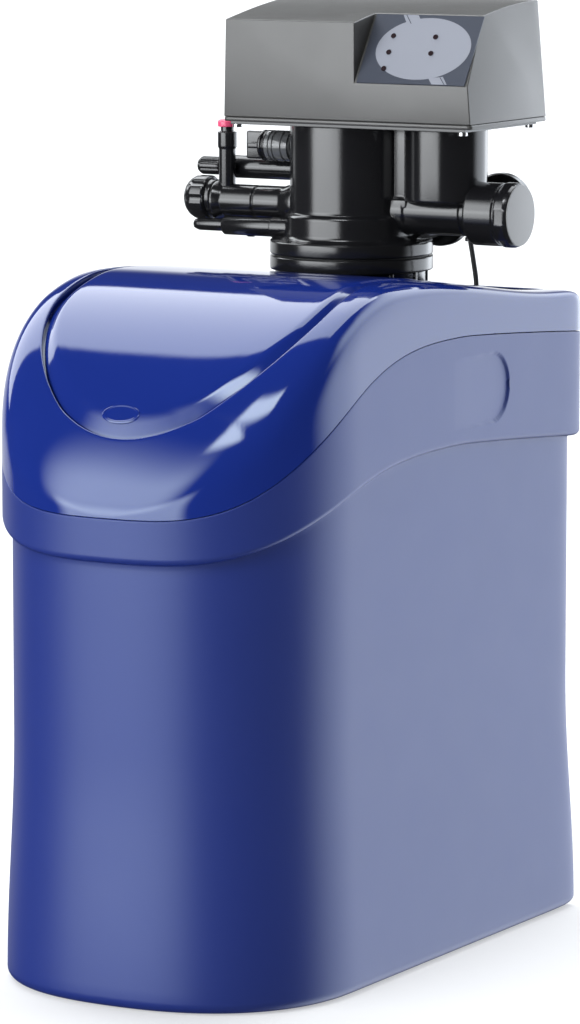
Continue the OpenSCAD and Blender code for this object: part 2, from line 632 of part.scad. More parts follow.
// Valve body: column, outlet tower, ports and side stubs
thread_len = 18;
nut_t = 8;
thread_y = tank_y + port_reach - thread_len;
stub_x = chamber_r + 2;
drain_boss = flange_r;
brine_end = brine_route[len(brine_route) - 1];
meter_stub = 4;
adj_stub = 79;
adj_stub_r = adj_r + 1.5;
adj_spindle_r = 2;
bowl_x = 44;
web_d = 25;
nut_gap = 1;
outlet_port = [outlet_x, port_z];
inlet_port = [outlet_x - 2*nut_r - nut_gap, port_z - inlet_drop];
module at_port(port) translate([port[0], 0, port[1]]) children();
module at_meter() translate([0, tank_y, port_z]) children();
module at_drain() translate([0, tank_y - drain_y, drain_z]) children();
module left_stub(y, z, x, r) translate([0, tank_y + y, z]) along_x(-x, -stub_x + abs(y)/4, r);
module valve_body() color(black) difference() {
    union() {
        at_tank(valve_z) cylinder(h = flange_t, r = flange_r);
        at_tank(ring_z) cylinder(h = ring_h, r = ring_r);
        at_tank(body_z) cylinder(h = column_top - body_z, r = column_r);
        translate([tower_x, tank_y, port_z]) cylinder(h = column_top - port_z, r = tower_r);
        translate([stub_x, tank_y - web_d/2, body_z])
            cube([tower_x - stub_x, web_d, column_top - body_z]);
        at_meter() along_x(stub_x, cap_x0, pipe_r);
        for (port = [inlet_port, outlet_port]) at_port(port) {
            along_y(tank_y, thread_y, port_body_r);
            along_y(thread_y - 1, thread_y + nut_t + 1, thread_r - 0.6);
            along_y(thread_y + nut_t, thread_y + thread_len, thread_r);
        }
        left_stub(0, inj_z, inj_joint, inj_r);
        left_stub(-drain_y, drain_z, drain_boss, drain_r + 1);
        left_stub(0, bowl_z, bowl_x, bowl_r - 3);
        left_stub(adj_y, adj_z, adj_stub, adj_stub_r);
        left_stub(adj_y, adj_z, knob_x + 8, adj_spindle_r);
        translate([brine_end[0], 0, brine_end[2]])
            along_y(tank_y + stub_x - 6, brine_end[1] - lay_gap, tube_r + 2);
    }
    at_meter() difference() {
        along_x(cap_x0 - lay_gap, 2*half_span, cap_r + lay_gap);
        along_x(cap_x0 - 1, cap_x0 + meter_stub, pipe_r);
    }
    at_tank(valve_z - 1) cylinder(h = riser_top - valve_z + 1, r = riser_r + run_gap);
    at_tank(chamber_z) cylinder(h = column_top, r = chamber_r);
    for (port = [inlet_port, outlet_port]) at_port(port) along_y(tank_y, back_y, port_bore_r);
    at_meter() along_x(tower_x - 6, half_span, pipe_r - 4);
    translate([0, tank_y, inj_z]) along_x(-half_span, -chamber_r + 4, inj_r - 4);
    at_drain() along_x(-half_span, -stub_x, drain_r - 2);
}

// Rotary discs, their shaft and the gears that turn them
disc_port_r = 5;
module fixed_disc() color(white) at_tank(chamber_z) difference() {
    cylinder(h = disc_t, r = chamber_r - lay_gap);
    for (a = [0:120:240]) rotate(a) translate([chamber_r*0.6, 0, -1])
        cylinder(h = disc_t + 2, r = disc_port_r);
}
module rotor_disc() color(white) at_tank(chamber_z + disc_t + run_gap) difference() {
    cylinder(h = disc_t, r = chamber_r - 2);
    rotate(60) translate([chamber_r*0.6, 0, -1]) cylinder(h = disc_t + 2, r = disc_port_r);
}
shaft_z = chamber_z + 2*disc_t + run_gap;
module rotor_shaft() color(white) at_tank(shaft_z) cylinder(h = gear_z + gear_h - shaft_z, r = shaft_r);

// Gear outline: four points to a tooth, thinner than its gap
function gear_points(teeth) =
    let (r = pitch*teeth, step = 360/teeth, low = r - pitch*1.9, tip = r + pitch*1.3)
    [for (i = [0:teeth - 1]) each [
        for (v = [[low, -0.3], [tip, -0.11], [tip, 0.11], [low, 0.3]])
            v[0]*[cos(step*(i + v[1])), sin(step*(i + v[1]))]]];
module spur_gear(teeth, bore) difference() {
    linear_extrude(gear_h) polygon(gear_points(teeth));
    translate([0, 0, -1]) cylinder(h = gear_h + 2, r = bore);
}
motor_r = 16;
motor_shaft_r = 2.5;
module drive_gear() color(white) at_tank(gear_z) spur_gear(gear_teeth, shaft_r + run_gap);
module motor_pinion() color(white) translate([gear_span, tank_y, gear_z])
    rotate(180 + 180/pinion_teeth) spur_gear(pinion_teeth, motor_shaft_r + run_gap);
module gear_motor() color(steel) translate([gear_span, tank_y, base_top]) {
    cylinder(h = motor_h, r = motor_r);
    cylinder(h = gear_z - base_top + gear_h, r = motor_shaft_r);
}

// Flow meter in the right-hand pipe
cap_end = 6;
axle_r = 1.5;
blade_t = 1.2;
turbine_gap = 3.25;
turbine_x0 = cap_x0 + meter_stub + turbine_gap;
turbine_len = cap_len - cap_end - meter_stub - 2*turbine_gap;
module meter_cap() color(black) at_meter() difference() {
    along_x(cap_x0, half_span, cap_r);
    along_x(cap_x0 - 1, half_span - cap_end, pipe_r + lay_gap);
}
module meter_axle() color(steel) at_meter() along_x(turbine_x0 - 2, half_span - cap_end, axle_r);
module flow_turbine() color(white) at_meter() difference() {
    union() {
        along_x(turbine_x0, turbine_x0 + turbine_len, 3*axle_r);
        for (a = [0:60:300]) rotate([a, 0, 0]) translate([turbine_x0 + 3, -blade_t/2, 2*axle_r])
            cube([turbine_len - 6, blade_t, turbine_r - 2*axle_r]);
    }
    along_x(turbine_x0 - 1, half_span, axle_r + run_gap);
}
module port_nut(port) color(black) at_port(port) difference() {
    along_y(thread_y, thread_y + nut_t, nut_r);
    along_y(thread_y - 1, back_y, thread_r + lay_gap);
}
module inlet_nut() port_nut(inlet_port);
module outlet_nut() port_nut(outlet_port);

// Injector, mixing knob, vent, drain, refill adjuster and screen bowl on the left
spindle_r = 3;
spindle_len = 14;
module injector_body() color(black) translate([0, tank_y, inj_z]) difference() {
    union() {
        along_x(-knob_x + lay_gap, -inj_joint, inj_r);
        along_x(-knob_x - spindle_len, -knob_x + 1, spindle_r);
    }
    along_x(-vent_x, -inj_joint + 1, inj_r - 4);
}
flute_r = 2;
module mixing_knob() color(black) translate([0, tank_y, inj_z]) difference() {
    along_x(-half_span, -knob_x, knob_r);
    along_x(-knob_x - spindle_len - lay_gap, -knob_x + 1, spindle_r + run_gap);
    for (i = [0:knob_flutes - 1]) rotate([360*i/knob_flutes, 0, 0])
        translate([0, 0, knob_r + flute_r/2]) along_x(-half_span - 1, -knob_x - 4, flute_r);
}
sleeve_h = 14;
stem_z = inj_z + inj_r + run_gap;
button_depth = sleeve_h - 1;
module at_vent(z) translate([-vent_x, tank_y, z]) children();
module vent_stem() color(black) difference() {
    union() {
        at_vent(stem_z) cylinder(h = vent_top - stem_z, r = vent_r);
        at_vent(vent_top - sleeve_h) cylinder(h = sleeve_h, r = button_r + 1.5);
    }
    at_vent(vent_top - button_depth) cylinder(h = sleeve_h, r = button_r + run_gap);
}
button_proud = 4;
module vent_button() color([0.85, 0.25, 0.35]) at_vent(vent_top - button_depth + button_travel + lay_gap)
    cylinder(h = button_depth - button_travel - lay_gap + button_proud, r = button_r);
module drain_spigot() color(black) at_drain() difference() {
    union() {
        along_x(-drain_reach, -drain_boss, drain_r);
        along_x(-drain_reach, -drain_reach + 24, drain_r + 0.4);
    }
    along_x(-drain_reach - 1, -drain_boss + 1, drain_r - 2);
}
adj_len = 17;
module refill_adjuster() color(black) translate([0, tank_y + adj_y, adj_z]) difference() {
    along_x(-knob_x - adj_len, -knob_x, adj_r);
    along_x(-knob_x - 8 - lay_gap, -knob_x + 1, adj_spindle_r + run_gap);
    for (i = [0:11]) rotate([30*i, 0, 0]) translate([0, 0, adj_r + 0.4])
        along_x(-knob_x - adj_len - 1, -knob_x - 2, 0.9);
}
bowl_end = bowl_x + bowl_len;
module at_bowl() translate([0, tank_y, bowl_z]) children();
module screen_bowl() color(clear) at_bowl() difference() {
    along_x(-bowl_end, -bowl_x, bowl_r);
    along_x(-bowl_end + 2, -bowl_x + 1, bowl_r - 2);
}
bowl_disc_t = 6;
wing_t = 4;
module bowl_cap() color(black) at_bowl() {
    along_x(-bowl_end - bowl_disc_t, -bowl_end, bowl_r);
    translate([-bowl_end - bowl_cap_len, -wing_t/2, 1 - bowl_r])
        cube([bowl_cap_len - bowl_disc_t + 1, wing_t, 2*bowl_r - 2]);
}

// Control head: base plate, cover with a sloped panel, screws, label, lenses and board
boss_r = 4.5;
boss_in = head_wall + boss_r - 1;
boss_h = 18;
bosses = [for (x = [head_x0 + boss_in, head_x1 - boss_in])
    for (y = [head_y0 + boss_in, head_y1 - boss_in]) [x, y]];
module head_base() color(black) difference() {
    translate([head_x0 + head_wall + lay_gap, head_y0 + head_wall + lay_gap, base_z])
        cube([head_x1 - head_x0 - 2*(head_wall + lay_gap), head_d - 2*(head_wall + lay_gap), base_t]);
    at_tank(base_z - 1) cylinder(h = base_t + 2, r = shaft_r + run_gap);
    for (b = bosses) translate([b[0], b[1], base_z - 1]) cylinder(h = base_t + 2, r = screw_r + run_gap);
}
top_stops = [0, 0.2, 0.4, 0.6, 0.8, 1];
function top_line(y0, y1, in) = [for (t = top_stops) let (y = y0 + t*(y1 - y0)) [y, head_top(y) - in]];
function plain_profile(in) = concat([[head_y0 + in, head_z0]],
    top_line(head_y0 + in, head_y1 - in, in), [[head_y1 - in, head_z0]]);
function panel_profile(in) = concat([[head_y0 + in, head_z0], [head_y0 + in, panel_z - in/2]],
    top_line(head_y0 + panel_lean + in*0.6, head_y1 - in, in), [[head_y1 - in, head_z0]]);
module profile_block(x0, x1, points) translate([x0, 0, 0]) rotate([90, 0, 90])
    linear_extrude(x1 - x0) polygon(points);
module on_panel() translate([0, head_y0, panel_z]) rotate([panel_tilt, 0, 0]) children();
board_in = 10;
board_t = 1.6;
board_x0 = panel_x0 + 9;
board_x1 = head_x1 - head_wall - 4;
board_y0 = 5;
board_y1 = panel_len - 8;
posts = [for (x = [board_x0 + 4, board_x1 - 4], y = [board_y0 + 4, board_y1 - 4]) [x, y]];
module head_cover() color(grey) {
    difference() {
        union() {
            profile_block(head_x0, panel_x0, plain_profile(0));
            profile_block(panel_x0 - 1, head_x1, panel_profile(0));
        }
        translate([0, 0, -0.01]) {
            profile_block(head_x0 + head_wall, panel_x0 - head_wall, plain_profile(head_wall));
            profile_block(panel_x0 - head_wall - 1, head_x1 - head_wall, panel_profile(head_wall));
        }
    }
    for (b = bosses) translate([b[0], b[1], base_top]) difference() {
        cylinder(h = boss_h, r = boss_r);
        translate([0, 0, -1]) cylinder(h = boss_h - 3, r = screw_r);
    }
    on_panel() for (p = posts) translate([p[0], p[1], -board_in]) cylinder(h = board_in - 1, r = 2);
}
screw_head_t = 2.2;
screw_bite = 12;
screw_len = base_t + screw_bite;
module cover_screws() color(steel) for (b = bosses) translate([b[0], b[1], base_z]) {
    translate([0, 0, -screw_head_t]) cylinder(h = screw_head_t, r = 2*screw_r);
    cylinder(h = screw_len, r = screw_r);
}
label_edge = 2;
module panel_label() color([0.3, 0.33, 0.41]) on_panel() translate([panel_x0 + label_edge, 0.5, run_gap])
    cube([head_x1 - panel_x0 - 2*label_edge, panel_len - 1.5, label_t]);
lens_places = [[19, 35], [19, 23], [19, 11], [49.6, 35], [49.6, 23]];
module indicator_lenses() color(black) on_panel()
    for (p = lens_places) translate([panel_x0 + p[0], p[1], label_t + run_gap])
        cylinder(h = 0.8, r = lens_r);
module circuit_board() color([0.1, 0.4, 0.2]) on_panel()
    translate([board_x0, board_y0, -board_in - board_t])
    cube([board_x1 - board_x0, board_y1 - board_y0, board_t]);

// Brine well, brine valve, float, brine tube, salt grid and level probe
brine_valve_top = brine_route[0][2] - lay_gap;
cap_t = 6;
probe_r = 4;
probe_len = 110;
stop_h = 3;
module at_brine(z) translate([brine_x, brine_y, z]) children();
module brine_well() color(white) difference() {
    at_brine(well_floor) ring(brine_top - well_floor, brine_r, brine_r - brine_wall);
    for (a = [0:60:120]) at_brine(well_floor + 14) rotate(a) translate([-brine_r - 1, -2, 0])
        cube([2*brine_r + 2, 4, 24]);
}
module brine_well_cap() color(white) difference() {
    at_brine(brine_top) cylinder(h = cap_t, r = brine_r + 2);
    translate([brine_x, tube_foot_y, brine_top - 1]) cylinder(h = cap_t + 2, r = tube_hole);
    translate([brine_x, probe_y, brine_top - 1]) cylinder(h = cap_t + 2, r = probe_r + lay_gap);
}
module brine_valve() color(white) at_brine(well_floor)
    cylinder(h = brine_valve_top - well_floor, r = brine_r - brine_wall - lay_gap);
module float_rod() color(steel) {
    at_brine(brine_valve_top) cylinder(h = brine_top - brine_valve_top - 8, r = rod_r);
    at_brine(float_z - lay_gap - stop_h) cylinder(h = stop_h, r = 2*rod_r);
    at_brine(float_z + float_h + float_travel + lay_gap) cylinder(h = stop_h, r = 2*rod_r);
}
module float() color(white) at_brine(float_z) ring(float_h, float_r, rod_r + run_gap);
module brine_tube() color(white) sweep(brine_route, tube_r);
hole_pitch = 16;
hole_r = 3.5;
grid_legs = [[-70, -50], [-58, -130], [58, -130], [-14, -60]];
module salt_grid() color(white) {
    difference() {
        translate([0, 0, grid_z]) linear_extrude(grid_t) polygon(cabinet_plan(-wall - 1));
        at_tank(grid_z - 1) cylinder(h = grid_t + 2, r = tank_r + 2);
        at_brine(grid_z - 1) cylinder(h = grid_t + 2, r = brine_r + 1);
        translate([-cab_w, brine_y, grid_z - 1]) cube([2*cab_w, cab_d, grid_t + 2]);
        for (i = [-5:5], j = [0:5]) translate([i*hole_pitch, -150 + j*hole_pitch, grid_z - 1])
            cylinder(h = grid_t + 2, r = hole_r);
    }
    for (p = grid_legs) translate([p[0], p[1], well_floor]) cylinder(h = grid_z - well_floor, r = 6);
}
module level_probe() color(black) translate([brine_x, probe_y, 0]) {
    translate([0, 0, brine_top - probe_len]) cylinder(h = probe_len + 1, r = probe_r);
    translate([0, 0, brine_top + cap_t])
        cylinder(h = lead_route[len(lead_route) - 1][2] - lay_gap - brine_top - cap_t, r = probe_r + 2);
    translate([0, 0, brine_top]) cylinder(h = cap_t + 1, r = probe_r);
}
module probe_lead() color(black) sweep(lead_route, lead_r);
gland_r = 3.5;
gland_h = 2.4;
module lead_gland() color(black) translate(lead_route[0] + [0, 0, lay_gap])
    cylinder(h = gland_h, r = gland_r);
module lead_grommet() color(black) difference() {
    union() {
        at_grommet(plate_z) cylinder(h = well_t, r = grommet_hole - run_gap);
        at_grommet(plate_top) cylinder(h = 1.5, r = grommet_hole + 1.5);
    }
    at_grommet(plate_z - 1) cylinder(h = well_t + 4, r = lead_r + lay_gap);
}

cabinet_tub();
top_cover();
well_plate();
hinge_pin();
salt_lid();
lid_hinge_arms();
overflow_bush();
overflow_nut();
resin_tank();
tank_boot();
resin_bed();
riser_tube();
top_strainer();
bottom_strainer();
tank_adapter();
flange_seal();
valve_body();
fixed_disc();
rotor_disc();
rotor_shaft();
drive_gear();
motor_pinion();
gear_motor();
meter_cap();
meter_axle();
flow_turbine();
inlet_nut();
outlet_nut();
injector_body();
mixing_knob();
vent_stem();
vent_button();
drain_spigot();
refill_adjuster();
screen_bowl();
bowl_cap();
head_base();
head_cover();
cover_screws();
panel_label();
indicator_lenses();
circuit_board();
brine_well();
brine_well_cap();
brine_valve();
float_rod();
float();
brine_tube();
salt_grid();
level_probe();
probe_lead();
lead_gland();
lead_grommet();
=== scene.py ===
"""Dressed scene of a compact cabinet water softener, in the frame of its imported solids."""

import json
import logging
import math
from dataclasses import dataclass, field
from enum import Enum

import bmesh
import bpy
import numpy as np
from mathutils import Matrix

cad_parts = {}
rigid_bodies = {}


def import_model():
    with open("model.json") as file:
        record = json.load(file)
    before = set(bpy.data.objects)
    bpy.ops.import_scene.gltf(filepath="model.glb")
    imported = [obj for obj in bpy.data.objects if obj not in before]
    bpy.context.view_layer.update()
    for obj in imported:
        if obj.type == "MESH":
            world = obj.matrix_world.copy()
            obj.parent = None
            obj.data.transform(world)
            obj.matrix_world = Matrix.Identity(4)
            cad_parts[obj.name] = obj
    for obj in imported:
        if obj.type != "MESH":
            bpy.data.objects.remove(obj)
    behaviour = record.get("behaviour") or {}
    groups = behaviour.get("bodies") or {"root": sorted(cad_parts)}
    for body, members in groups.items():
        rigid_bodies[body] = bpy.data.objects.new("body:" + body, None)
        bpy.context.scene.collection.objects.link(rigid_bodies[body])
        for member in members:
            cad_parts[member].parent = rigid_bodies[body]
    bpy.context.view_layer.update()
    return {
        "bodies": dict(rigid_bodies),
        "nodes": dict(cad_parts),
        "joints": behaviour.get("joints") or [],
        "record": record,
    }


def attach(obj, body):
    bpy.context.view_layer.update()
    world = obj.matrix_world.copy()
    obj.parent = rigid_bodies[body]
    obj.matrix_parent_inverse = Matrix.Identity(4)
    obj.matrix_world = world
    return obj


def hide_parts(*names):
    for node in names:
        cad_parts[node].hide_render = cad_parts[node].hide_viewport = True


LOG = logging.getLogger("softener")
MM = 0.001
Skin = tuple[np.ndarray, list]
Profile = list[tuple[float, float]]


class Relief(Enum):
    """Fine relief of a surface: noise scale per metre, and its depth in metres."""

    POLISHED = (140.0, 0.00002)
    MOULDED = (900.0, 0.00006)
    SPARKED = (2600.0, 0.00012)
    BEADS = (1500.0, 0.0006)
    DRAWN = (400.0, 0.00003)


class Axis(Enum):
    """The way a turned piece points."""

    X = "X"
    Y = "Y"
    Z = "Z"


@dataclass(frozen=True)
class Finish:
    """A procedural plastic, rubber or metal finish."""

    name: str
    colour: tuple[float, float, float]
    rough: float
    relief: Relief
    shade: float = 0.06
    rough_spread: float = 0.05
    metal: float = 0.0
    clear: float = 0.0
    edge: float = 0.0
    glow: float = 0.0
    tint: tuple[float, float, float] = (1.0, 1.0, 1.0)

    def material(self) -> bpy.types.Material:
        """Makes the finish, or returns it if it is there.

        Returns:
            The node material.
        """
        found = bpy.data.materials.get(self.name)
        if found:
            return found
        made = bpy.data.materials.new(self.name)
        made.use_nodes = True
        tree = made.node_tree
        shader = tree.nodes["Principled BSDF"]
        shader.inputs["Metallic"].default_value = self.metal
        shader.inputs["Transmission Weight"].default_value = self.clear
        shader.inputs["Specular Tint"].default_value = (*self.tint, 1)
        place = tree.nodes.new("ShaderNodeTexCoord")
        self._tone(tree, shader, place)
        self._gloss(tree, shader, place)
        self._relief(tree, shader, place)
        if self.glow:
            shader.inputs["Emission Color"].default_value = (1, 1, 1, 1)
            shader.inputs["Emission Strength"].default_value = self.glow
        return made

    def _noise(self, tree: bpy.types.NodeTree, place: bpy.types.Node, scale: float) -> bpy.types.Node:
        """Adds a noise in the object's own coordinates.

        Args:
            tree: The material's nodes.
            place: The texture coordinate node.
            scale: Noise scale per metre.

        Returns:
            The noise node.
        """
        noise = tree.nodes.new("ShaderNodeTexNoise")
        noise.inputs["Scale"].default_value = scale
        noise.inputs["Detail"].default_value = 3.0
        tree.links.new(place.outputs["Object"], noise.inputs["Vector"])
        return noise

    def _tone(self, tree: bpy.types.NodeTree, shader: bpy.types.Node, place: bpy.types.Node) -> None:
        """Varies the colour a little over the surface.

        Args:
            tree: The material's nodes.
            shader: The shader to feed.
            place: The texture coordinate node.
        """
        ramp = tree.nodes.new("ShaderNodeValToRGB")
        for stop, gain in zip(ramp.color_ramp.elements, (1 - self.shade, 1 + self.shade)):
            stop.color = (*(min(1.0, c * gain) for c in self.colour), 1)
        tree.links.new(self._noise(tree, place, 9.0).outputs["Fac"], ramp.inputs["Fac"])
        tree.links.new(ramp.outputs["Color"], shader.inputs["Base Color"])

    def _gloss(self, tree: bpy.types.NodeTree, shader: bpy.types.Node, place: bpy.types.Node) -> None:
        """Varies the roughness by slight wear.

        Args:
            tree: The material's nodes.
            shader: The shader to feed.
            place: The texture coordinate node.
        """
        span = tree.nodes.new("ShaderNodeMapRange")
        span.inputs["To Min"].default_value = max(0.02, self.rough - self.rough_spread)
        span.inputs["To Max"].default_value = self.rough + self.rough_spread
        tree.links.new(self._noise(tree, place, 35.0).outputs["Fac"], span.inputs["Value"])
        tree.links.new(span.outputs["Result"], shader.inputs["Roughness"])

    def _relief(self, tree: bpy.types.NodeTree, shader: bpy.types.Node, place: bpy.types.Node) -> None:
        """Adds the fine relief, and softens sharp edges where the finish asks for it.

        Args:
            tree: The material's nodes.
            shader: The shader to feed.
            place: The texture coordinate node.
        """
        scale, depth = self.relief.value
        bump = tree.nodes.new("ShaderNodeBump")
        bump.inputs["Strength"].default_value = 0.5
        bump.inputs["Distance"].default_value = depth
        tree.links.new(self._noise(tree, place, scale).outputs["Fac"], bump.inputs["Height"])
        if self.edge:
            bevel = tree.nodes.new("ShaderNodeBevel")
            bevel.inputs["Radius"].default_value = self.edge
            tree.links.new(bevel.outputs["Normal"], bump.inputs["Normal"])
        tree.links.new(bump.outputs["Normal"], shader.inputs["Normal"])


BLUE = (0.006, 0.017, 0.14)
BLUE_TINT = (0.84, 0.95, 1.0)
BLUE_TUB = Finish("blue_tub", BLUE, 0.42, Relief.MOULDED, 0.04, 0.02, tint=BLUE_TINT)
BLUE_GLOSS = Finish("blue_gloss", BLUE, 0.06, Relief.POLISHED, 0.04, 0.02, tint=BLUE_TINT)
BLACK_MOULDING = Finish("black_moulding", (0.008, 0.008, 0.009), 0.16, Relief.MOULDED, 0.1, 0.04, edge=0.0007)
GREY_COVER = Finish("grey_cover", (0.04, 0.039, 0.037), 0.32, Relief.SPARKED, 0.03, 0.06)
GREY_FACE = Finish("grey_face", (0.15, 0.15, 0.15), 0.4, Relief.MOULDED, 0.06, 0.06)
WHITE_MOULDING = Finish("white_moulding", (0.7, 0.7, 0.66), 0.4, Relief.MOULDED, edge=0.0006)
CLEAR_BOWL = Finish("clear_bowl", (0.16, 0.165, 0.17), 0.12, Relief.POLISHED, 0.02, 0.03, clear=0.45)
RED_BUTTON = Finish("red_button", (0.6, 0.06, 0.14), 0.3, Relief.MOULDED, edge=0.0005)
BRIGHT_STEEL = Finish("bright_steel", (0.62, 0.62, 0.63), 0.25, Relief.DRAWN, metal=1.0, edge=0.0004)
SOFT_RUBBER = Finish("soft_rubber", (0.012, 0.012, 0.012), 0.6, Relief.SPARKED)
RESIN_BEADS = Finish("resin_beads", (0.4, 0.2, 0.05), 0.5, Relief.BEADS, 0.3)
PANEL_FILM = Finish("panel_film", (0.02, 0.026, 0.043), 0.4, Relief.SPARKED, 0.05)
PALE_PRINT = Finish("pale_print", (0.19, 0.2, 0.235), 0.45, Relief.SPARKED, 0.03)
LAMP_LENS = Finish("lamp_lens", (0.015, 0.008, 0.01), 0.15, Relief.POLISHED)
GREEN_BOARD = Finish("green_board", (0.02, 0.16, 0.05), 0.4, Relief.MOULDED)
PALE_FLOOR = Finish("pale_floor", (0.4, 0.4, 0.4), 0.8, Relief.SPARKED, 0.005, glow=0.45)


def new_piece(name: str, shape: Skin, finish: Finish, body: str,
              sharp: float = 35.0) -> bpy.types.Object:
    """Makes a mesh piece that rides on a body.

    Args:
        name: The piece's name.
        shape: Points in millimetres, and faces as lists of point numbers.
        finish: The piece's finish.
        body: The body that it rides on.
        sharp: Edges over this angle, in degrees, stay sharp.

    Returns:
        The new object.
    """
    points, faces = shape
    mesh = bpy.data.meshes.new(name)
    mesh.from_pydata((np.asarray(points, float) * MM).tolist(), [], faces)
    work = bmesh.new()
    work.from_mesh(mesh)
    bmesh.ops.remove_doubles(work, verts=work.verts, dist=1e-7)
    bmesh.ops.recalc_face_normals(work, faces=work.faces)
    work.to_mesh(mesh)
    work.free()
    obj = bpy.data.objects.new(name, mesh)
    bpy.context.scene.collection.objects.link(obj)
    return settle(obj, finish, body, sharp)


def settle(obj: bpy.types.Object, finish: Finish, body: str, sharp: float) -> bpy.types.Object:
    """Shades a piece, dresses it and lets it ride on its body.

    Args:
        obj: The piece.
        finish: Its finish.
        body: The body that it rides on.
        sharp: Edges over this angle, in degrees, stay sharp.

    Returns:
        The piece.
    """
    mesh = obj.data
    mesh.polygons.foreach_set("use_smooth", [True] * len(mesh.polygons))
    mesh.set_sharp_from_angle(angle=math.radians(sharp))
    mesh.materials.append(finish.material())
    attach(obj, body)
    LOG.info("%s: %d faces", obj.name, len(mesh.polygons))
    return obj


def skin(rings: np.ndarray, closed: bool = False) -> Skin:
    """Joins rings of points into one skin.

    Args:
        rings: Array of rings by points by 3.
        closed: Whether the last ring joins the first; otherwise both ends get caps.

    Returns:
        Points and faces.
    """
    count, n, _ = rings.shape
    points = rings.reshape(-1, 3)
    faces = []
    for a in range(count if closed else count - 1):
        b = (a + 1) % count
        faces += [[a * n + i, a * n + (i + 1) % n, b * n + (i + 1) % n, b * n + i] for i in range(n)]
    if not closed:
        ends = np.stack([rings[0].mean(0), rings[-1].mean(0)])
        first, last = count * n, count * n + 1
        points = np.vstack([points, ends])
        base = (count - 1) * n
        faces += [[(i + 1) % n, i, first] for i in range(n)]
        faces += [[base + i, base + (i + 1) % n, last] for i in range(n)]
    return points, faces


def joined(*shapes: Skin) -> Skin:
    """Puts several skins into one.

    Args:
        shapes: The skins.

    Returns:
        Points and faces of all of them.
    """
    points, faces, start = [], [], 0
    for some, sides in shapes:
        points.append(some)
        faces += [[start + i for i in side] for side in sides]
        start += len(some)
    return np.vstack(points), faces


def rounded(profile: Profile, radius: float, steps: int = 5) -> Profile:
    """Rounds the inner corners of an open profile.

    Args:
        profile: Corner points.
        radius: Largest corner radius; short sides get less.
        steps: Points for each corner.

    Returns:
        The profile with rounded corners.
    """
    out = [profile[0]]
    for before, corner, after in zip(profile, profile[1:], profile[2:]):
        p, a, b = (np.array(v, float) for v in (corner, before, after))
        room = min(radius, 0.45 * np.linalg.norm(a - p), 0.45 * np.linalg.norm(b - p))
        start = p + room * (a - p) / np.linalg.norm(a - p)
        end = p + room * (b - p) / np.linalg.norm(b - p)
        for t in np.linspace(0, 1, steps):
            out.append(tuple((1 - t) ** 2 * start + 2 * t * (1 - t) * p + t * t * end))
    return out + [profile[-1]]


@dataclass(frozen=True)
class Flutes:
    """Grip flutes round a turned piece, between two heights."""

    count: int
    depth: float
    start: float
    end: float

    def sink(self, turn: np.ndarray, r: float, h: float) -> np.ndarray:
        """Depth of the flutes at one ring.

        Args:
            turn: Angles round the piece.
            r: Radius of the ring.
            h: Height of the ring.

        Returns:
            Depth for each angle.
        """
        if not self.start <= h <= self.end:
            return np.zeros_like(turn)
        return self.depth * np.clip(np.cos(self.count * turn), 0, 1) ** 0.7 * min(1.0, r / 4)


def turned(profile: Profile, origin: tuple[float, float, float], axis: Axis, sides: int = 72,
           flutes: Flutes | None = None, closed: bool = False) -> Skin:
    """Turns a profile round an axis.

    Args:
        profile: Points of radius and height along the axis.
        origin: Where height zero of the axis is.
        axis: The axis direction.
        sides: Points round the turn.
        flutes: Grip flutes, if any.
        closed: Whether the profile is a loop, as for a tube.

    Returns:
        Points and faces.
    """
    turn = np.linspace(0, 2 * np.pi, sides, endpoint=False)
    rings = []
    for r, h in profile:
        radius = np.full(sides, max(r, 0.01))
        if flutes:
            radius = radius - flutes.sink(turn, r, h)
        u, v, w = radius * np.cos(turn), radius * np.sin(turn), np.full(sides, h)
        order = {Axis.X: (w, u, v), Axis.Y: (u, w, v), Axis.Z: (u, v, w)}[axis]
        rings.append(np.stack(order, -1) + np.array(origin))
    return skin(np.array(rings), closed)


def block(low: tuple[float, float, float], high: tuple[float, float, float], radius: float) -> Skin:
    """A box whose upright edges and rims are rounded.

    Args:
        low: Its lower corner.
        high: Its upper corner.
        radius: Radius of its edges.

    Returns:
        Points and faces.
    """
    turn = np.radians(np.linspace(0, 90, 5))
    rings = []
    for z, back in ((low[2], radius), *((low[2] + radius * (1 - math.sin(t)), radius * (1 - math.cos(t)))
                                        for t in turn[::-1][1:]),
                    *((high[2] - radius * (1 - math.sin(t)), radius * (1 - math.cos(t))) for t in turn)):
        rings.append(round_frame(low[0] + back, high[0] - back, low[1] + back, high[1] - back,
                                 radius, z))
    return skin(np.array(rings))


def round_frame(x0: float, x1: float, y0: float, y1: float, radius: float, z: float) -> np.ndarray:
    """A level rectangle with round corners.

    Args:
        x0: Left side.
        x1: Right side.
        y0: Front side.
        y1: Rear side.
        radius: Radius of the corners.
        z: Height.

    Returns:
        Points of the ring.
    """
    corners = ((x1 - radius, y1 - radius, 0), (x0 + radius, y1 - radius, 90),
               (x0 + radius, y0 + radius, 180), (x1 - radius, y0 + radius, 270))
    turns = [(x, y, math.radians(start + a)) for x, y, start in corners for a in (0, 22.5, 45, 67.5, 90)]
    return np.array([(x + radius * math.cos(t), y + radius * math.sin(t), z) for x, y, t in turns])


def smooth_way(route: tuple, steps: int = 6) -> np.ndarray:
    """Passes a smooth curve through points.

    Args:
        route: The points.
        steps: Points for each stretch.

    Returns:
        Points of the curve.
    """
    p = np.array([route[0], *route, route[-1]], float)
    out = []
    for a, b, c, d in zip(p, p[1:], p[2:], p[3:]):
        for t in np.linspace(0, 1, steps, endpoint=False):
            out.append(0.5 * (2 * b + (c - a) * t + (2 * a - 5 * b + 4 * c - d) * t ** 2
                              + (3 * b - a - 3 * c + d) * t ** 3))
    return np.array(out + [p[-1]])


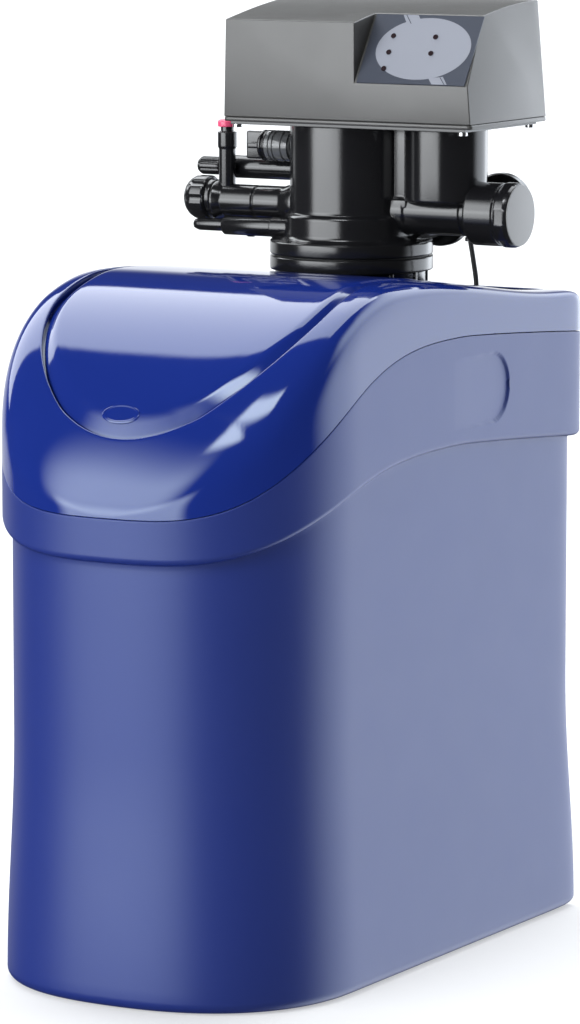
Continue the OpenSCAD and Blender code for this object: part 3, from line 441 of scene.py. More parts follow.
def hose(route: tuple, radius: float, sides: int = 20) -> Skin:
    """Sweeps a round section along a smooth way.

    Args:
        route: Points that the way passes.
        radius: Radius of the section.
        sides: Points round the section.

    Returns:
        Points and faces.
    """
    way = smooth_way(route)
    heading = np.gradient(way, axis=0)
    heading /= np.linalg.norm(heading, axis=1, keepdims=True)
    side = np.cross(heading[0], [0.0, 1.0, 0.2])
    rings = []
    turn = np.linspace(0, 2 * np.pi, sides, endpoint=False)
    for point, ahead in zip(way, heading):
        side = side - ahead * (side @ ahead)
        side /= np.linalg.norm(side)
        up = np.cross(ahead, side)
        rings.append(point + radius * (np.cos(turn)[:, None] * side + np.sin(turn)[:, None] * up))
    return skin(np.array(rings))


def smooth_step(t: np.ndarray) -> np.ndarray:
    """Eases from 0 to 1."""
    t = np.clip(t, 0, 1)
    return t * t * (3 - 2 * t)


@dataclass
class ShellForm:
    """Plan and dome that the cabinet, the cover and the lid share, in millimetres."""

    half_w: float = 112.0
    nose_len: float = 105.5
    nose_y: float = -96.0
    rear_len: float = 297.5
    front_n: float = 2.36
    rear_n: float = 48.0
    proud: float = 6.0
    front_y: float = -207.5
    back_y: float = 207.5
    crest_z: float = 439.0
    crest_y: float = -46.5
    deck_z: float = 415.0
    seam_front: float = 304.5
    seam_rise: float = 94.5
    band_front: float = 277.0
    band_rise: float = 52.5
    peak_y: float = 37.0
    wave_fall: float = 12.0
    nose_steps: int = 132
    corner: tuple = (0.985, 0.982, 0.978, 0.972, 0.965, 0.955, 0.94, 0.92)

    def curve(self, a: float, b: float, r: float, nf: float) -> np.ndarray:
        """Closed plan curve.

        Args:
            a: Half width.
            b: Length of the nose.
            r: Length behind the nose.
            nf: Squareness of the nose.

        Returns:
            Points of the curve.
        """
        t = np.pi + np.pi * np.arange(self.nose_steps + 1) / self.nose_steps
        nose = np.stack([a * np.sign(np.cos(t)) * np.abs(np.cos(t)) ** (2 / nf),
                         self.nose_y - b * np.abs(np.sin(t)) ** (2 / nf)], -1)
        sides = np.concatenate([np.linspace(0.02, 0.39, 22), np.linspace(0.4, 0.68, 88),
                                np.linspace(0.69, 0.9, 18), self.corner[::-1]])
        rears = np.concatenate([self.corner, np.linspace(0.88, -0.88, 30), [-v for v in self.corner[::-1]]])
        right = np.stack([a * self.fall(sides, self.rear_n, self.rear_n), self.nose_y + r * sides], -1)
        end = np.stack([a * rears, self.nose_y + r * self.fall(np.abs(rears), self.rear_n, self.rear_n)], -1)
        return np.vstack([nose, right, end, (right * [-1, 1])[::-1]])

    def plan(self, out: float) -> np.ndarray:
        """Plan curve of the cabinet, grown by a distance."""
        return self.curve(self.half_w + out, self.nose_len + out, self.rear_len + out, self.front_n)

    def wave(self, y: np.ndarray, low: float, rise: float) -> np.ndarray:
        """Height of a line that rises from the front and falls a little behind.

        Args:
            y: Places along the depth.
            low: Height at the front.
            rise: Rise to the peak.

        Returns:
            Heights.
        """
        share = np.clip((y - self.front_y) / (self.peak_y - self.front_y), 0, 1)
        behind = np.maximum(0, (y - self.peak_y) / (self.back_y - self.peak_y))
        return low + rise * (1 - (1 - share) ** 3) ** 1.64 - self.wave_fall * behind ** 1.2

    def seam(self, y: np.ndarray) -> np.ndarray:
        """Height of the seam under the cover."""
        return self.wave(y, self.seam_front, self.seam_rise)

    def band(self, y: np.ndarray) -> np.ndarray:
        """Height of the lower edge of the band."""
        return self.wave(y, self.band_front, self.band_rise)

    def fall(self, t: np.ndarray, e: np.ndarray | float, f: np.ndarray | float) -> np.ndarray:
        """Share of the height left at share t of the way out."""
        return np.maximum(0, 1 - np.minimum(1, t) ** e) ** (1 / f)

    def crest(self, y: np.ndarray, sink: float) -> np.ndarray:
        """Height of the dome's middle line.

        Args:
            y: Places along the depth.
            sink: Depth below the outer face.

        Returns:
            Heights.
        """
        ahead = np.maximum(0, self.crest_y - y) / (self.crest_y - self.front_y - sink)
        front = self.seam_front + (self.crest_z - sink - self.seam_front) * self.fall(ahead, 1.86, 1.47)
        share = np.clip((y - self.crest_y) / (self.back_y - self.crest_y), 0, 1)
        rear = self.deck_z - sink + (self.crest_z - self.deck_z) * (1 + np.cos(np.pi * share)) / 2
        return np.where(y < self.crest_y, front, rear)

    def dome(self, x: np.ndarray, y: np.ndarray, sink: float = 0.0) -> np.ndarray:
        """Height of the domed top.

        Args:
            x: Places across.
            y: Places along the depth.
            sink: Depth below the outer face.

        Returns:
            Heights.
        """
        out = self.proud - sink
        ahead = np.maximum(0, self.nose_y - y) / (self.nose_len + out)
        behind = np.maximum(0, y - self.nose_y) / (self.rear_len + out)
        across = np.abs(x) / (self.half_w + out)
        side = np.maximum(1e-4, self.fall(ahead, self.front_n, self.front_n))
        reach = np.where(ahead > 0, across / side,
                         (across ** self.rear_n + behind ** self.rear_n) ** (1 / self.rear_n))
        m = np.maximum(2, 11.7 - 13.7 * ahead + 25 * behind ** 2)
        k = 8.1 - 4.26 * ahead + behind ** 2
        base = self.seam(y)
        return base + (self.crest(y, sink) - base) * self.fall(reach, m, k)


@dataclass
class Cabinet:
    """Blue cabinet tub with its band, foot flare and finger recesses."""

    form: ShellForm
    wall: float = 4.0
    floor: float = 5.0
    flare: float = 5.0
    flare_h: float = 160.0
    foot_r: float = 7.0
    band_edge_r: float = 4.0
    band_fillet: float = 1.0
    rim_r: float = 0.9
    grip_r: float = 22.5
    grip_y: float = 77.0
    grip_z: float = 362.5
    grip_run: float = 52.0
    grip_tilt: float = 1.2
    grip_edge: float = 0.8

    def flare_at(self, z: float) -> float:
        """How far the foot stands out at a height."""
        return self.flare * (1 + math.cos(math.pi * min(1.0, z / self.flare_h))) / 2

    def level(self, out: float, z: float) -> np.ndarray:
        """A ring of the plan at one height."""
        plan = self.form.plan(out)
        return np.column_stack([plan, np.full(len(plan), z)])

    def along(self, out: float, heights: np.ndarray) -> np.ndarray:
        """A ring of the plan with a height for each point."""
        return np.column_stack([self.form.plan(out), heights])

    def carve(self, ring: np.ndarray) -> np.ndarray:
        """Sinks the finger recesses into a ring of the band.

        Args:
            ring: Points of the ring.

        Returns:
            The points with the recesses sunk.
        """
        y, z = ring[:, 1], ring[:, 2]
        over = np.hypot(np.maximum(0, y - self.grip_y), z - self.grip_z)
        depth = math.tan(math.radians(self.grip_tilt)) * np.maximum(0, y - self.grip_y + self.grip_run)
        sunk = depth * (1 - smooth_step((over - self.grip_r + self.grip_edge) / self.grip_edge))
        ring = ring.copy()
        sides = np.abs(ring[:, 0]) > self.form.half_w
        ring[:, 0] -= np.sign(ring[:, 0]) * np.where(sides, sunk, 0)
        return ring

    def band_rings(self, band: np.ndarray, seam: np.ndarray) -> list[np.ndarray]:
        """Rings of the band, from the fillet under it to the seam.

        Args:
            band: Height of the band's lower edge for each point.
            seam: Height of the seam for each point.

        Returns:
            The rings.
        """
        proud, edge, fillet = self.form.proud, self.band_edge_r, self.band_fillet
        rings = []
        for t in np.radians((0, 30, 60, 90)):
            rings.append(self.along(fillet * (1 - math.cos(t)), band - fillet * (1 - math.sin(t))))
        for t in np.radians(np.linspace(0, 90, 9)):
            rings.append(self.along(proud - edge * (1 - math.sin(t)), band + edge * (1 - math.cos(t))))
        low, high = band + edge, seam - self.rim_r
        rings += [self.carve(self.along(proud, low + v * (high - low))) for v in np.linspace(0.02, 1, 62)]
        for t in np.radians((30, 60, 90)):
            rings.append(self.along(proud - self.rim_r * (1 - math.cos(t)),
                                    seam - self.rim_r * (1 - math.sin(t))))
        return rings

    def build(self) -> bpy.types.Object:
        """Makes the tub.

        Returns:
            The tub.
        """
        outer_y = self.form.plan(self.form.proud)[:, 1]
        band, seam = self.form.band(outer_y), self.form.seam(outer_y)
        top = band - self.band_fillet - self.flare_h
        rings = [self.level(self.flare - self.foot_r * (1 - math.sin(t)), self.foot_r * (1 - math.cos(t)))
                 for t in np.radians(np.arange(0, 91, 11.25))]
        rings += [self.level(self.flare_at(z), z) for z in np.linspace(14, self.flare_h, 20)]
        rings += [self.along(0, self.flare_h + v * top) for v in (0.4, 0.8, 0.97)]
        rings += self.band_rings(band, seam)
        rings += [self.along(-self.wall, seam), self.along(-self.wall, band)]
        rings += [self.level(self.flare_at(z) - self.wall, z) for z in (160, 120, 80, 40)]
        rings += [self.level(self.flare - self.wall - self.foot_r / 2, self.floor)]
        tub = new_piece("tub_shell", skin(np.array(rings)), BLUE_TUB, "cabinet", 50)
        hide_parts("cabinet_tub")
        return tub


@dataclass
class TopCover:
    """Domed cover with the mouth for the lid and the valve well."""

    form: ShellForm
    wall: float = 3.2
    gap: float = 0.4
    open_w: float = 97.5
    open_nose: float = 91.8
    open_rear: float = 286.0
    mouth_n: float = 2.0
    lip_w: float = 8.0
    lip_t: float = 2.0
    lip_depth: float = 5.6
    well_z: float = 404.0
    well_y: float = 6.0
    edge_r: float = 1.6
    shares: tuple = (0, 4e-5, 4e-4, 0.0022, 0.005, 0.0094, 0.018, 0.033, 0.06, 0.1, 0.14, 0.175, 0.22, 0.26,
                     0.306, 0.36, 0.42, 0.48, 0.54, 0.6, 0.66, 0.72, 0.77, 0.81, 0.845, 0.88)
    inner_shares: tuple = (0.6, 0.3, 0.12, 0.04, 0.01, 0.0)
    lip_root: float = 0.86

    def build(self) -> bpy.types.Object:
        """Makes the cover.

        Returns:
            The cover.
        """
        form = self.form
        outer, inner = form.plan(form.proud), form.plan(form.proud - self.wall)
        mouth = form.curve(self.open_w, self.open_nose, self.open_rear, self.mouth_n)
        lip = form.curve(self.open_w - self.lip_w, self.open_nose - self.lip_w,
                         self.open_rear - self.lip_w, self.mouth_n)
        width = np.linalg.norm(mouth - outer, axis=1)
        lip_z = np.where(mouth[:, 1] > self.well_y, self.well_z,
                         form.dome(mouth[:, 0], mouth[:, 1]) - self.lip_depth)
        rings = []
        for t in self.shares:
            p = outer + t * (mouth - outer)
            rings.append(np.column_stack([p, form.dome(p[:, 0], p[:, 1]) + self.gap]))
        for turn in np.radians(np.linspace(0, 90, 8)):
            share = 1 - self.edge_r * (1 - math.sin(turn)) / width
            p = outer + share[:, None] * (mouth - outer)
            drop = self.edge_r * (1 - math.cos(turn))
            rings.append(np.column_stack([p, form.dome(p[:, 0], p[:, 1]) + self.gap - drop]))
        rings += [np.column_stack([mouth, lip_z]), np.column_stack([lip, lip_z]),
                  np.column_stack([lip, lip_z - self.lip_t])]
        p = inner + self.lip_root * (mouth - inner)
        root_z = np.minimum(lip_z - self.lip_t, form.dome(p[:, 0], p[:, 1], self.wall))
        rings.append(np.column_stack([p, root_z]))
        for t in self.inner_shares:
            p = inner + t * (mouth - inner)
            rings.append(np.column_stack([p, form.dome(p[:, 0], p[:, 1], self.wall) + self.gap]))
        shape = skin(np.array(rings), True)
        cover = new_piece("cover_shell", shape, BLUE_GLOSS, "cabinet", 50)
        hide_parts("top_cover")
        return cover


@dataclass
class SaltLid:
    """Tongue-shaped salt lid with a rolled edge and a plain raised oval."""

    form: ShellForm
    half_w: float = 95.9
    nose: float = 90.2
    rear_y: float = 28.0
    lid_n: float = 2.0
    mid_y: float = -70.0
    proud: float = 0.8
    thick: float = 1.8
    roll: tuple = ((0.0, 5.4), (0.6, 4.2), (6.5, 0.0), (12.0, 0.0))
    roll_r: float = 2.5
    hem: float = 0.4
    ease_y: tuple[float, float] = (-30.0, 0.0)
    rear_share: float = 0.42
    oval_at: tuple[float, float] = (-4.0, -178.8)
    oval: tuple[float, float] = (12.6, 3.6)
    oval_rings: tuple = ((1.06, -0.4), (1.04, 0.2), (1.0, 0.45), (0.93, 0.45), (0.88, 0.2), (0.8, 0.12),
                         (0.4, 0.25), (0.02, 0.3))

    def ring(self, edge: np.ndarray, t: np.ndarray, sink: np.ndarray | float) -> np.ndarray:
        """A ring of the lid.

        Args:
            edge: Plan of the edge.
            t: Share of the way from the middle to the edge, for each point.
            sink: Depth below the dome.

        Returns:
            Points of the ring.
        """
        mid = np.array([0.0, self.mid_y])
        p = mid + t[:, None] * (edge - mid)
        return np.column_stack([p, self.form.dome(p[:, 0], p[:, 1]) - sink])

    def build(self) -> bpy.types.Object:
        """Makes the lid.

        Returns:
            The lid.
        """
        edge = self.form.curve(self.half_w, self.nose, self.rear_y - self.form.nose_y, self.lid_n)
        reach = np.linalg.norm(edge - [0.0, self.mid_y], axis=1)
        one = np.ones(len(edge))
        near, far = self.ease_y
        deep = 1 - (1 - self.rear_share) * smooth_step((edge[:, 1] - near) / (far - near))
        under = np.maximum(self.thick, (self.roll[0][1] + self.hem) * deep - self.proud)
        rings = [self.ring(edge, t * one, self.thick) for t in (0.04, 0.3, 0.6, 0.85)]
        shelf = np.maximum(self.thick, under - 1)
        rings += [self.ring(edge, 1 - self.roll[2][0] / reach, shelf), self.ring(edge, one, under)]
        for inset, depth in rounded(list(self.roll), self.roll_r, 7):
            rings.append(self.ring(edge, 1 - inset / reach, depth * deep - self.proud))
        inside = 1 - self.roll[-1][0] / reach
        rings += [self.ring(edge, t * inside, -self.proud) for t in np.linspace(0.98, 0.02, 24)]
        lid = new_piece("lid_shell", skin(np.array(rings)), BLUE_GLOSS, "lid", 60)
        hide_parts("salt_lid")
        return lid

    def dress(self) -> bpy.types.Object:
        """Makes the plain raised oval near the tip of the lid.

        Returns:
            The oval.
        """
        turn = np.linspace(0, 2 * np.pi, 72, endpoint=False)
        rings = []
        for share, lift in self.oval_rings:
            x = self.oval_at[0] + share * self.oval[0] * np.cos(turn)
            y = self.oval_at[1] + share * self.oval[1] * np.sin(turn)
            rings.append(np.column_stack([x, y, self.form.dome(x, y) + self.proud + lift]))
        return new_piece("lid_oval", skin(np.array(rings)), BLUE_GLOSS, "lid", 60)


@dataclass
class Lines:
    """Brine tube and probe lead, along their routes in the cabinet."""

    tube_r: float = 3.2
    lead_r: float = 1.6
    tube_route: tuple = ((68, 13, 46), (68, 13, 120), (68, 13, 200), (68, 13, 280), (68, 13, 338),
                         (69, 15, 350), (73, 21, 359), (80, 31, 365), (89, 46, 370), (96, 70, 374),
                         (98.5, 101, 378), (94, 134, 383), (78, 160, 387), (54, 177, 390), (26, 184, 392),
                         (0, 183, 394), (-19, 178, 397), (-26, 173, 402), (-28, 171, 410), (-28, 170, 425),
                         (-28, 169, 440), (-28, 166, 450), (-28, 160, 457), (-28, 154, 459),
                         (-28, 149, 459))
    lead_route: tuple = ((84.5, 108, 452.5), (85, 109, 447), (85.5, 111, 438), (86, 113, 428), (86, 114, 418),
                         (86, 114, 409), (86, 114, 402), (87, 110, 395), (90, 100, 390), (94, 84, 388),
                         (94, 62, 387), (90, 38, 386), (82, 12, 384), (74, -12, 380), (69, -28, 374),
                         (68, -35, 366), (68, -36, 358))

    def build(self) -> list[bpy.types.Object]:
        """Makes both lines.

        Returns:
            The tube and the lead.
        """
        tube = new_piece("brine_line", hose(self.tube_route, self.tube_r), WHITE_MOULDING, "cabinet")
        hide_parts("brine_tube")
        lead = new_piece("probe_line", hose(self.lead_route, self.lead_r, 14), SOFT_RUBBER, "cabinet")
        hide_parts("probe_lead")
        return [tube, lead]


@dataclass(frozen=True)
class Stub:
    """A turned stub of the valve: its profile, its axis, and how round it is."""

    profile: Profile
    origin: tuple[float, float, float]
    axis: Axis
    corner_r: float
    sides: int

    def shape(self) -> Skin:
        """Points and faces of the stub."""
        return turned(rounded(self.profile, self.corner_r), self.origin, self.axis, self.sides)


@dataclass
class Valve:
    """Valve body with its column, tower, ports and stubs, and the tank adapter under it."""

    axis_y: float = 101.5
    flange_r: float = 53.5
    flange_z: tuple[float, float] = (442.0, 451.0)
    adapter_z: tuple[float, float, float] = (398.0, 432.0, 441.0)
    skirt_r: float = 46.7
    skirt_ribs: int = 14
    mouth_r: float = 32.0
    ring_r: float = 43.8
    ring_top: float = 468.0
    column_r: float = 40.5
    top_z: float = 527.0
    tower_x: float = 70.0
    tower_r: float = 26.8
    tower_z: float = 478.5
    web_half: float = 12.5
    port_z: float = 471.5
    pipe_r: float = 15.0
    cap_x0: float = 92.0
    ports: tuple = ((35.0, 465.5), (80.0, 471.5))
    port_r: float = 16.0
    port_y: tuple[float, float] = (155.5, 173.5)
    thread_r: float = 13.22
    thread_turns: int = 5
    bore_r: float = 9.5
    nut_r: float = 22.0
    nut_t: float = 8.0
    injector_stub: Stub = Stub([(0.0, -70.0), (11.0, -70.0), (11.0, -50.0), (13.0, -44.0), (14.0, -39.5),
                                (14.0, -30.0), (0.0, -30.0)], (0, 101.5, 472.5), Axis.X, 1.5, 72)
    drain_stub: Stub = Stub([(0.0, -53.5), (7.1, -53.5), (7.1, -40.0), (9.5, -34.0), (0.0, -34.0)],
                            (0, 91.5, 457), Axis.X, 0.8, 48)
    bowl_stub: Stub = Stub([(0.0, -44.0), (6.2, -44.0), (6.2, -30.0), (0.0, -30.0)],
                           (0, 101.5, 510), Axis.X, 0.6, 48)
    dial_stub: Stub = Stub([(0.0, -114.0), (2.0, -114.0), (2.0, -99.0), (6.7, -99.0), (7.5, -98.0),
                            (7.5, -42.0), (10.0, -37.0), (10.0, -30.0), (0.0, -30.0)],
                           (0, 114.5, 494), Axis.X, 0.6, 64)
    brine_stub: Stub = Stub([(0.0, 127.5), (5.2, 127.5), (5.2, 148.7), (0.0, 148.7)],
                            (-28, 0, 459), Axis.Y, 0.6, 40)

    def build(self) -> list[bpy.types.Object]:
        """Makes the valve body, the adapter and the nuts.

        Returns:
            The pieces.
        """
        body = joined(self.column(), self.tower(), self.pipe(), *self.stubs(),
                      *(self.port(x, z) for x, z in self.ports))
        valve = new_piece("valve_shell", body, BLACK_MOULDING, "cabinet", 40)
        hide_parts("valve_body")
        return [valve, self.adapter(), *self.nuts()]

    def column(self) -> Skin:
        """Flange, ring and column, turned in one."""
        low, high = self.flange_z
        profile = rounded([(0.0, low), (self.flange_r, low), (self.flange_r, high), (46.4, high + 0.5),
                           (44.6, high + 1.8), (self.ring_r, high + 3.6),
                           (self.ring_r, self.ring_top - 1.6), (42.4, self.ring_top + 0.2),
                           (41.0, self.ring_top + 0.6), (self.column_r, self.ring_top + 2.4),
                           (self.column_r, self.top_z), (0.0, self.top_z)], 1.3)
        return turned(profile, (0, self.axis_y, 0), Axis.Z, 128)

    def tower(self) -> Skin:
        """Outlet tower with the web that ties it to the column."""
        profile = rounded([(0.0, self.tower_z), (self.tower_r, self.tower_z), (self.tower_r, self.top_z),
                           (0.0, self.top_z)], 2.2)
        web = block((self.column_r - 8, self.axis_y - self.web_half, self.ring_top),
                    (self.tower_x, self.axis_y + self.web_half, self.top_z), 1.2)
        foot = block((self.column_r - 4, self.axis_y - self.web_half - 2.5, 474),
                     (self.column_r + 8, self.axis_y, 479.5), 1.0)
        return joined(turned(profile, (self.tower_x, self.axis_y, 0), Axis.Z, 96), web, foot)

    def pipe(self) -> Skin:
        """Meter pipe with its thicker elbow."""
        r = self.pipe_r
        profile = rounded([(0.0, 30.0), (r + 1.0, 30.0), (r + 1.0, 45.0), (r, 47.0), (r, self.cap_x0 - 6),
                           (r - 0.8, self.cap_x0 - 5.4), (r - 0.8, self.cap_x0 + 4),
                           (0.0, self.cap_x0 + 4)], 0.8)
        return turned(profile, (0, self.axis_y, self.port_z), Axis.X, 96)

    def stubs(self) -> list[Skin]:
        """Stubs on the left and at the back that carry the small fittings."""
        return [stub.shape() for stub in (self.injector_stub, self.drain_stub, self.bowl_stub, self.dial_stub,
                                          self.brine_stub)]

    def port(self, x: float, z: float) -> Skin:
        """A rear port with a ridged thread and its bore.

        Args:
            x: Place across.
            z: Height.

        Returns:
            Points and faces.
        """
        start, end = self.port_y
        profile = [(self.bore_r, self.axis_y + 8), (self.port_r, self.axis_y + 8), (self.port_r, start),
                   (self.thread_r - 0.6, start)]
        pitch = (end - start - self.nut_t - 1) / self.thread_turns
        for i in range(self.thread_turns):
            at = start + self.nut_t + 0.5 + i * pitch
            profile += [(self.thread_r - 0.9, at), (self.thread_r, at + 0.35 * pitch),
                        (self.thread_r, at + 0.6 * pitch)]
        profile += [(self.thread_r - 0.9, end), (self.bore_r, end)]
        return turned(profile, (x, 0, z), Axis.Y, 72, closed=True)

    def nuts(self) -> list[bpy.types.Object]:
        """Makes the ring nuts on the rear ports.

        Returns:
            The nuts.
        """
        start = self.port_y[0]
        end = start + self.nut_t
        profile = [(self.thread_r + 0.3, start), (self.nut_r - 1.2, start), (self.nut_r, start + 1.2),
                   (self.nut_r, end - 1.2), (self.nut_r - 1.2, end), (self.thread_r + 0.3, end)]
        made = []
        for name, node, (x, z) in zip(("inlet_ring", "outlet_ring"), ("inlet_nut", "outlet_nut"), self.ports):
            shape = turned(profile, (x, 0, z), Axis.Y, 96, closed=True)
            made.append(new_piece(name, shape, BLACK_MOULDING, "cabinet", 40))
            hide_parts(node)
        return made

    def adapter(self) -> bpy.types.Object:
        """Makes the tank adapter with its flange and the ribs on its skirt.

        Returns:
            The adapter.
        """
        low, mid, high = self.adapter_z
        profile = rounded([(self.mouth_r, high), (self.mouth_r, 411.0), (38.3, 411.0), (38.3, low),
                           (self.skirt_r, low), (self.skirt_r, low + 9), (self.skirt_r + 2.6, low + 10),
                           (self.skirt_r + 2.6, mid), (self.flange_r, mid), (self.flange_r, high),
                           (self.mouth_r, high)], 1.0)[:-1]
        shapes = [turned(profile, (0, self.axis_y, 0), Axis.Z, 128, closed=True)]
        points, faces = block((-1.6, -self.skirt_r - 3.6, low + 12), (1.6, -self.skirt_r + 1.5, mid + 1), 0.7)
        for i in range(self.skirt_ribs):
            turn = 2 * math.pi * (i + 0.35) / self.skirt_ribs
            spin = np.array([[math.cos(turn), -math.sin(turn), 0], [math.sin(turn), math.cos(turn), 0],
                             [0, 0, 1]])
            shapes.append((points @ spin.T + [0, self.axis_y, 0], faces))
        piece = new_piece("adapter_shell", joined(*shapes), BLACK_MOULDING, "cabinet", 40)
        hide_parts("tank_adapter")
        return piece


@dataclass
class Fittings:
    """Small fittings on both sides of the valve."""

    axis_y: float = 101.5
    port_z: float = 471.5
    cap_x: tuple[float, float] = (92.0, 124.5)
    cap_r: float = 21.0
    cap_bore: float = 15.3
    knob_z: float = 474.0
    knob_x: tuple[float, float] = (-124.5, -102.0)
    knob_r: float = 14.6
    tube_r: float = 11.0
    tube_z: float = 472.5
    tube_end: float = -70.0
    dial_y: float = 114.5
    dial_z: float = 494.0
    dial_x: tuple[float, float] = (-123.0, -106.0)
    dial_r: float = 6.0
    bowl_z: float = 510.0
    bowl_x: tuple[float, float] = (-61.0, -44.0)
    bowl_r: float = 10.2
    wing_x: float = -79.0
    drain_y: float = 91.5
    drain_z: float = 457.0
    drain_x: tuple[float, float] = (-113.0, -53.5)
    drain_r: float = 6.3
    drain_end: tuple[float, float] = (4.2, -91.0)
    vent_x: float = -94.5
    vent_r: float = 5.6
    vent_z: tuple[float, float, float] = (480.0, 508.0, 518.0)
    sleeve_r: float = 6.4
    post: tuple[float, float] = (4.4, 522.0)
    button_z: tuple[float, float] = (521.3, 526.0)

    def build(self) -> list[bpy.types.Object]:
        """Makes the fittings.

        Returns:
            The pieces.
        """
        return [self.cap(), self.cap_face(), self.knob(), self.injector(), self.dial(), self.bowl(),
                self.wing(), self.drain(), self.vent(), self.button()]

    def black(self, name: str, shape: Skin, body: str, node: str) -> bpy.types.Object:
        """Makes a black fitting in place of its solid.

        Args:
            name: The piece's name.
            shape: Its points and faces.
            body: The body that it rides on.
            node: The solid that it replaces.

        Returns:
            The piece.
        """
        piece = new_piece(name, shape, BLACK_MOULDING, body, 42)
        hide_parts(node)
        return piece

    def cap(self) -> bpy.types.Object:
        """Makes the meter cap with its notched collar.

        Returns:
            The cap.
        """
        x0, x1 = self.cap_x
        r = self.cap_r
        profile = rounded([(self.cap_bore, x1 - 6), (self.cap_bore, x0), (r - 1.2, x0), (r - 0.6, x0 + 1.4),
                           (r - 0.6, x1 - 12), (r - 1.4, x1 - 11.4), (r - 1.4, x1 - 10.2), (r, x1 - 9.6),
                           (r, x1 - 3.6), (r - 1.2, x1 - 0.6), (r - 2.0, x1 - 0.3), (0.0, x1 - 0.3)], 0.8)
        flutes = Flutes(6, 0.9, x1 - 9.0, x1 - 3.2)
        shape = turned([(0.0, x1 - 6)] + profile, (0, self.axis_y, self.port_z), Axis.X, 144, flutes)
        return self.black("meter_cup", shape, "cabinet", "meter_cap")

    def cap_face(self) -> bpy.types.Object:
        """Makes the flat grey disc on the end of the meter cap.

        Returns:
            The disc.
        """
        x1, r = self.cap_x[1], self.cap_r - 1.4
        profile = rounded([(0.0, x1 - 0.9), (r, x1 - 0.9), (r, x1), (0.0, x1)], 0.3)
        shape = turned(profile, (0, self.axis_y, self.port_z), Axis.X, 96)
        return new_piece("meter_face", shape, GREY_FACE, "cabinet", 42)

    def knob(self) -> bpy.types.Object:
        """Makes the chamfered mixing knob with its broad lobes.

        Returns:
            The knob.
        """
        x0, x1 = self.knob_x
        r = self.knob_r
        profile = rounded([(0.0, x0), (2.4, x0), (2.8, x0 + 1.6), (9.6, x0 + 1.8), (12.6, x0 + 4.6),
                           (r, x0 + 8.4), (r, x1 - 5), (r - 1.6, x1 - 3.6), (r - 2.4, x1 - 3.4),
                           (r - 2.4, x1), (3.06, x1), (3.06, x1 - 14.3), (0.0, x1 - 14.3)], 1.4, 6)
        shape = turned(profile, (0, self.axis_y, self.knob_z), Axis.X, 160, Flutes(8, 1.0, x0 + 3, x1 - 4.5))
        return self.black("mixing_grip", shape, "mixing_knob", "mixing_knob")

    def injector(self) -> bpy.types.Object:
        """Makes the injector tube with the shoulder behind the knob.

        Returns:
            The tube.
        """
        start, end = self.knob_x[1] + 0.3, self.tube_end
        r = self.tube_r
        profile = rounded([(0.0, start - 14), (3.0, start - 14), (3.0, start), (13.0, start),
                           (13.4, start + 1.6), (r + 0.6, start + 6.0), (r, start + 7.4), (r, end - 1.2),
                           (r - 0.7, end - 0.3), (r - 0.7, end + 0.6), (0.0, end + 0.6)], 0.7)
        shape = turned(profile, (0, self.axis_y, self.tube_z), Axis.X, 96)
        return self.black("injector_tube", shape, "cabinet", "injector_body")

    def dial(self) -> bpy.types.Object:
        """Makes the ribbed refill adjuster.

        Returns:
            The adjuster.
        """
        x0, x1 = self.dial_x
        r = self.dial_r
        profile = rounded([(0.0, x0), (r - 1.6, x0), (r, x0 + 2.4), (r, x1 - 2), (r - 0.6, x1), (2.06, x1),
                           (2.06, x1 - 8.3), (0.0, x1 - 8.3)], 0.6)
        shape = turned(profile, (0, self.dial_y, self.dial_z), Axis.X, 144, Flutes(9, 0.9, x0 + 1.5, x1 - 1))
        return self.black("refill_grip", shape, "refill_adjuster", "refill_adjuster")

    def bowl(self) -> bpy.types.Object:
        """Makes the clear bowl with its rings.

        Returns:
            The bowl.
        """
        x0, x1 = self.bowl_x
        r, bore = self.bowl_r, self.bowl_r - 2
        outer = [(r, x0)]
        for at in (3.0, 6.0, 12.5):
            outer += [(r, x0 + at - 0.5), (r - 0.7, x0 + at), (r - 0.7, x0 + at + 0.7), (r, x0 + at + 1.2)]
        profile = [(bore, x0)] + outer + [(r, x1), (bore, x1)]
        shape = turned(profile, (0, self.axis_y, self.bowl_z), Axis.X, 72, closed=True)
        piece = new_piece("bowl_glass", shape, CLEAR_BOWL, "cabinet", 42)
        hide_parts("screen_bowl")
        return piece

    def wing(self) -> bpy.types.Object:
        """Makes the bowl's cap with its disc and two wings.

        Returns:
            The cap.
        """
        x1, r = self.bowl_x[0], self.bowl_r
        profile = rounded([(0.0, x1 - 9.0), (4.0, x1 - 9.0), (5.0, x1 - 6.2), (r - 1.4, x1 - 6.0),
                           (r, x1 - 4.6), (r, x1 - 3.2), (r - 0.8, x1 - 2.6), (r - 0.8, x1 - 1.8),
                           (r, x1 - 1.2), (r, x1), (0.0, x1)], 0.6)
        disc = turned(profile, (0, self.axis_y, self.bowl_z), Axis.X, 72)
        y, z = self.axis_y, self.bowl_z
        wing = block((self.wing_x, y - 2, z - r + 1), (x1 - 5.5, y + 2, z + r - 1), 1.2)
        cross = block((self.wing_x + 4, y - r + 2, z - 1.8), (x1 - 5.5, y + r - 2, z + 1.8), 1.0)
        return self.black("bowl_wing", joined(disc, wing, cross), "cabinet", "bowl_cap")

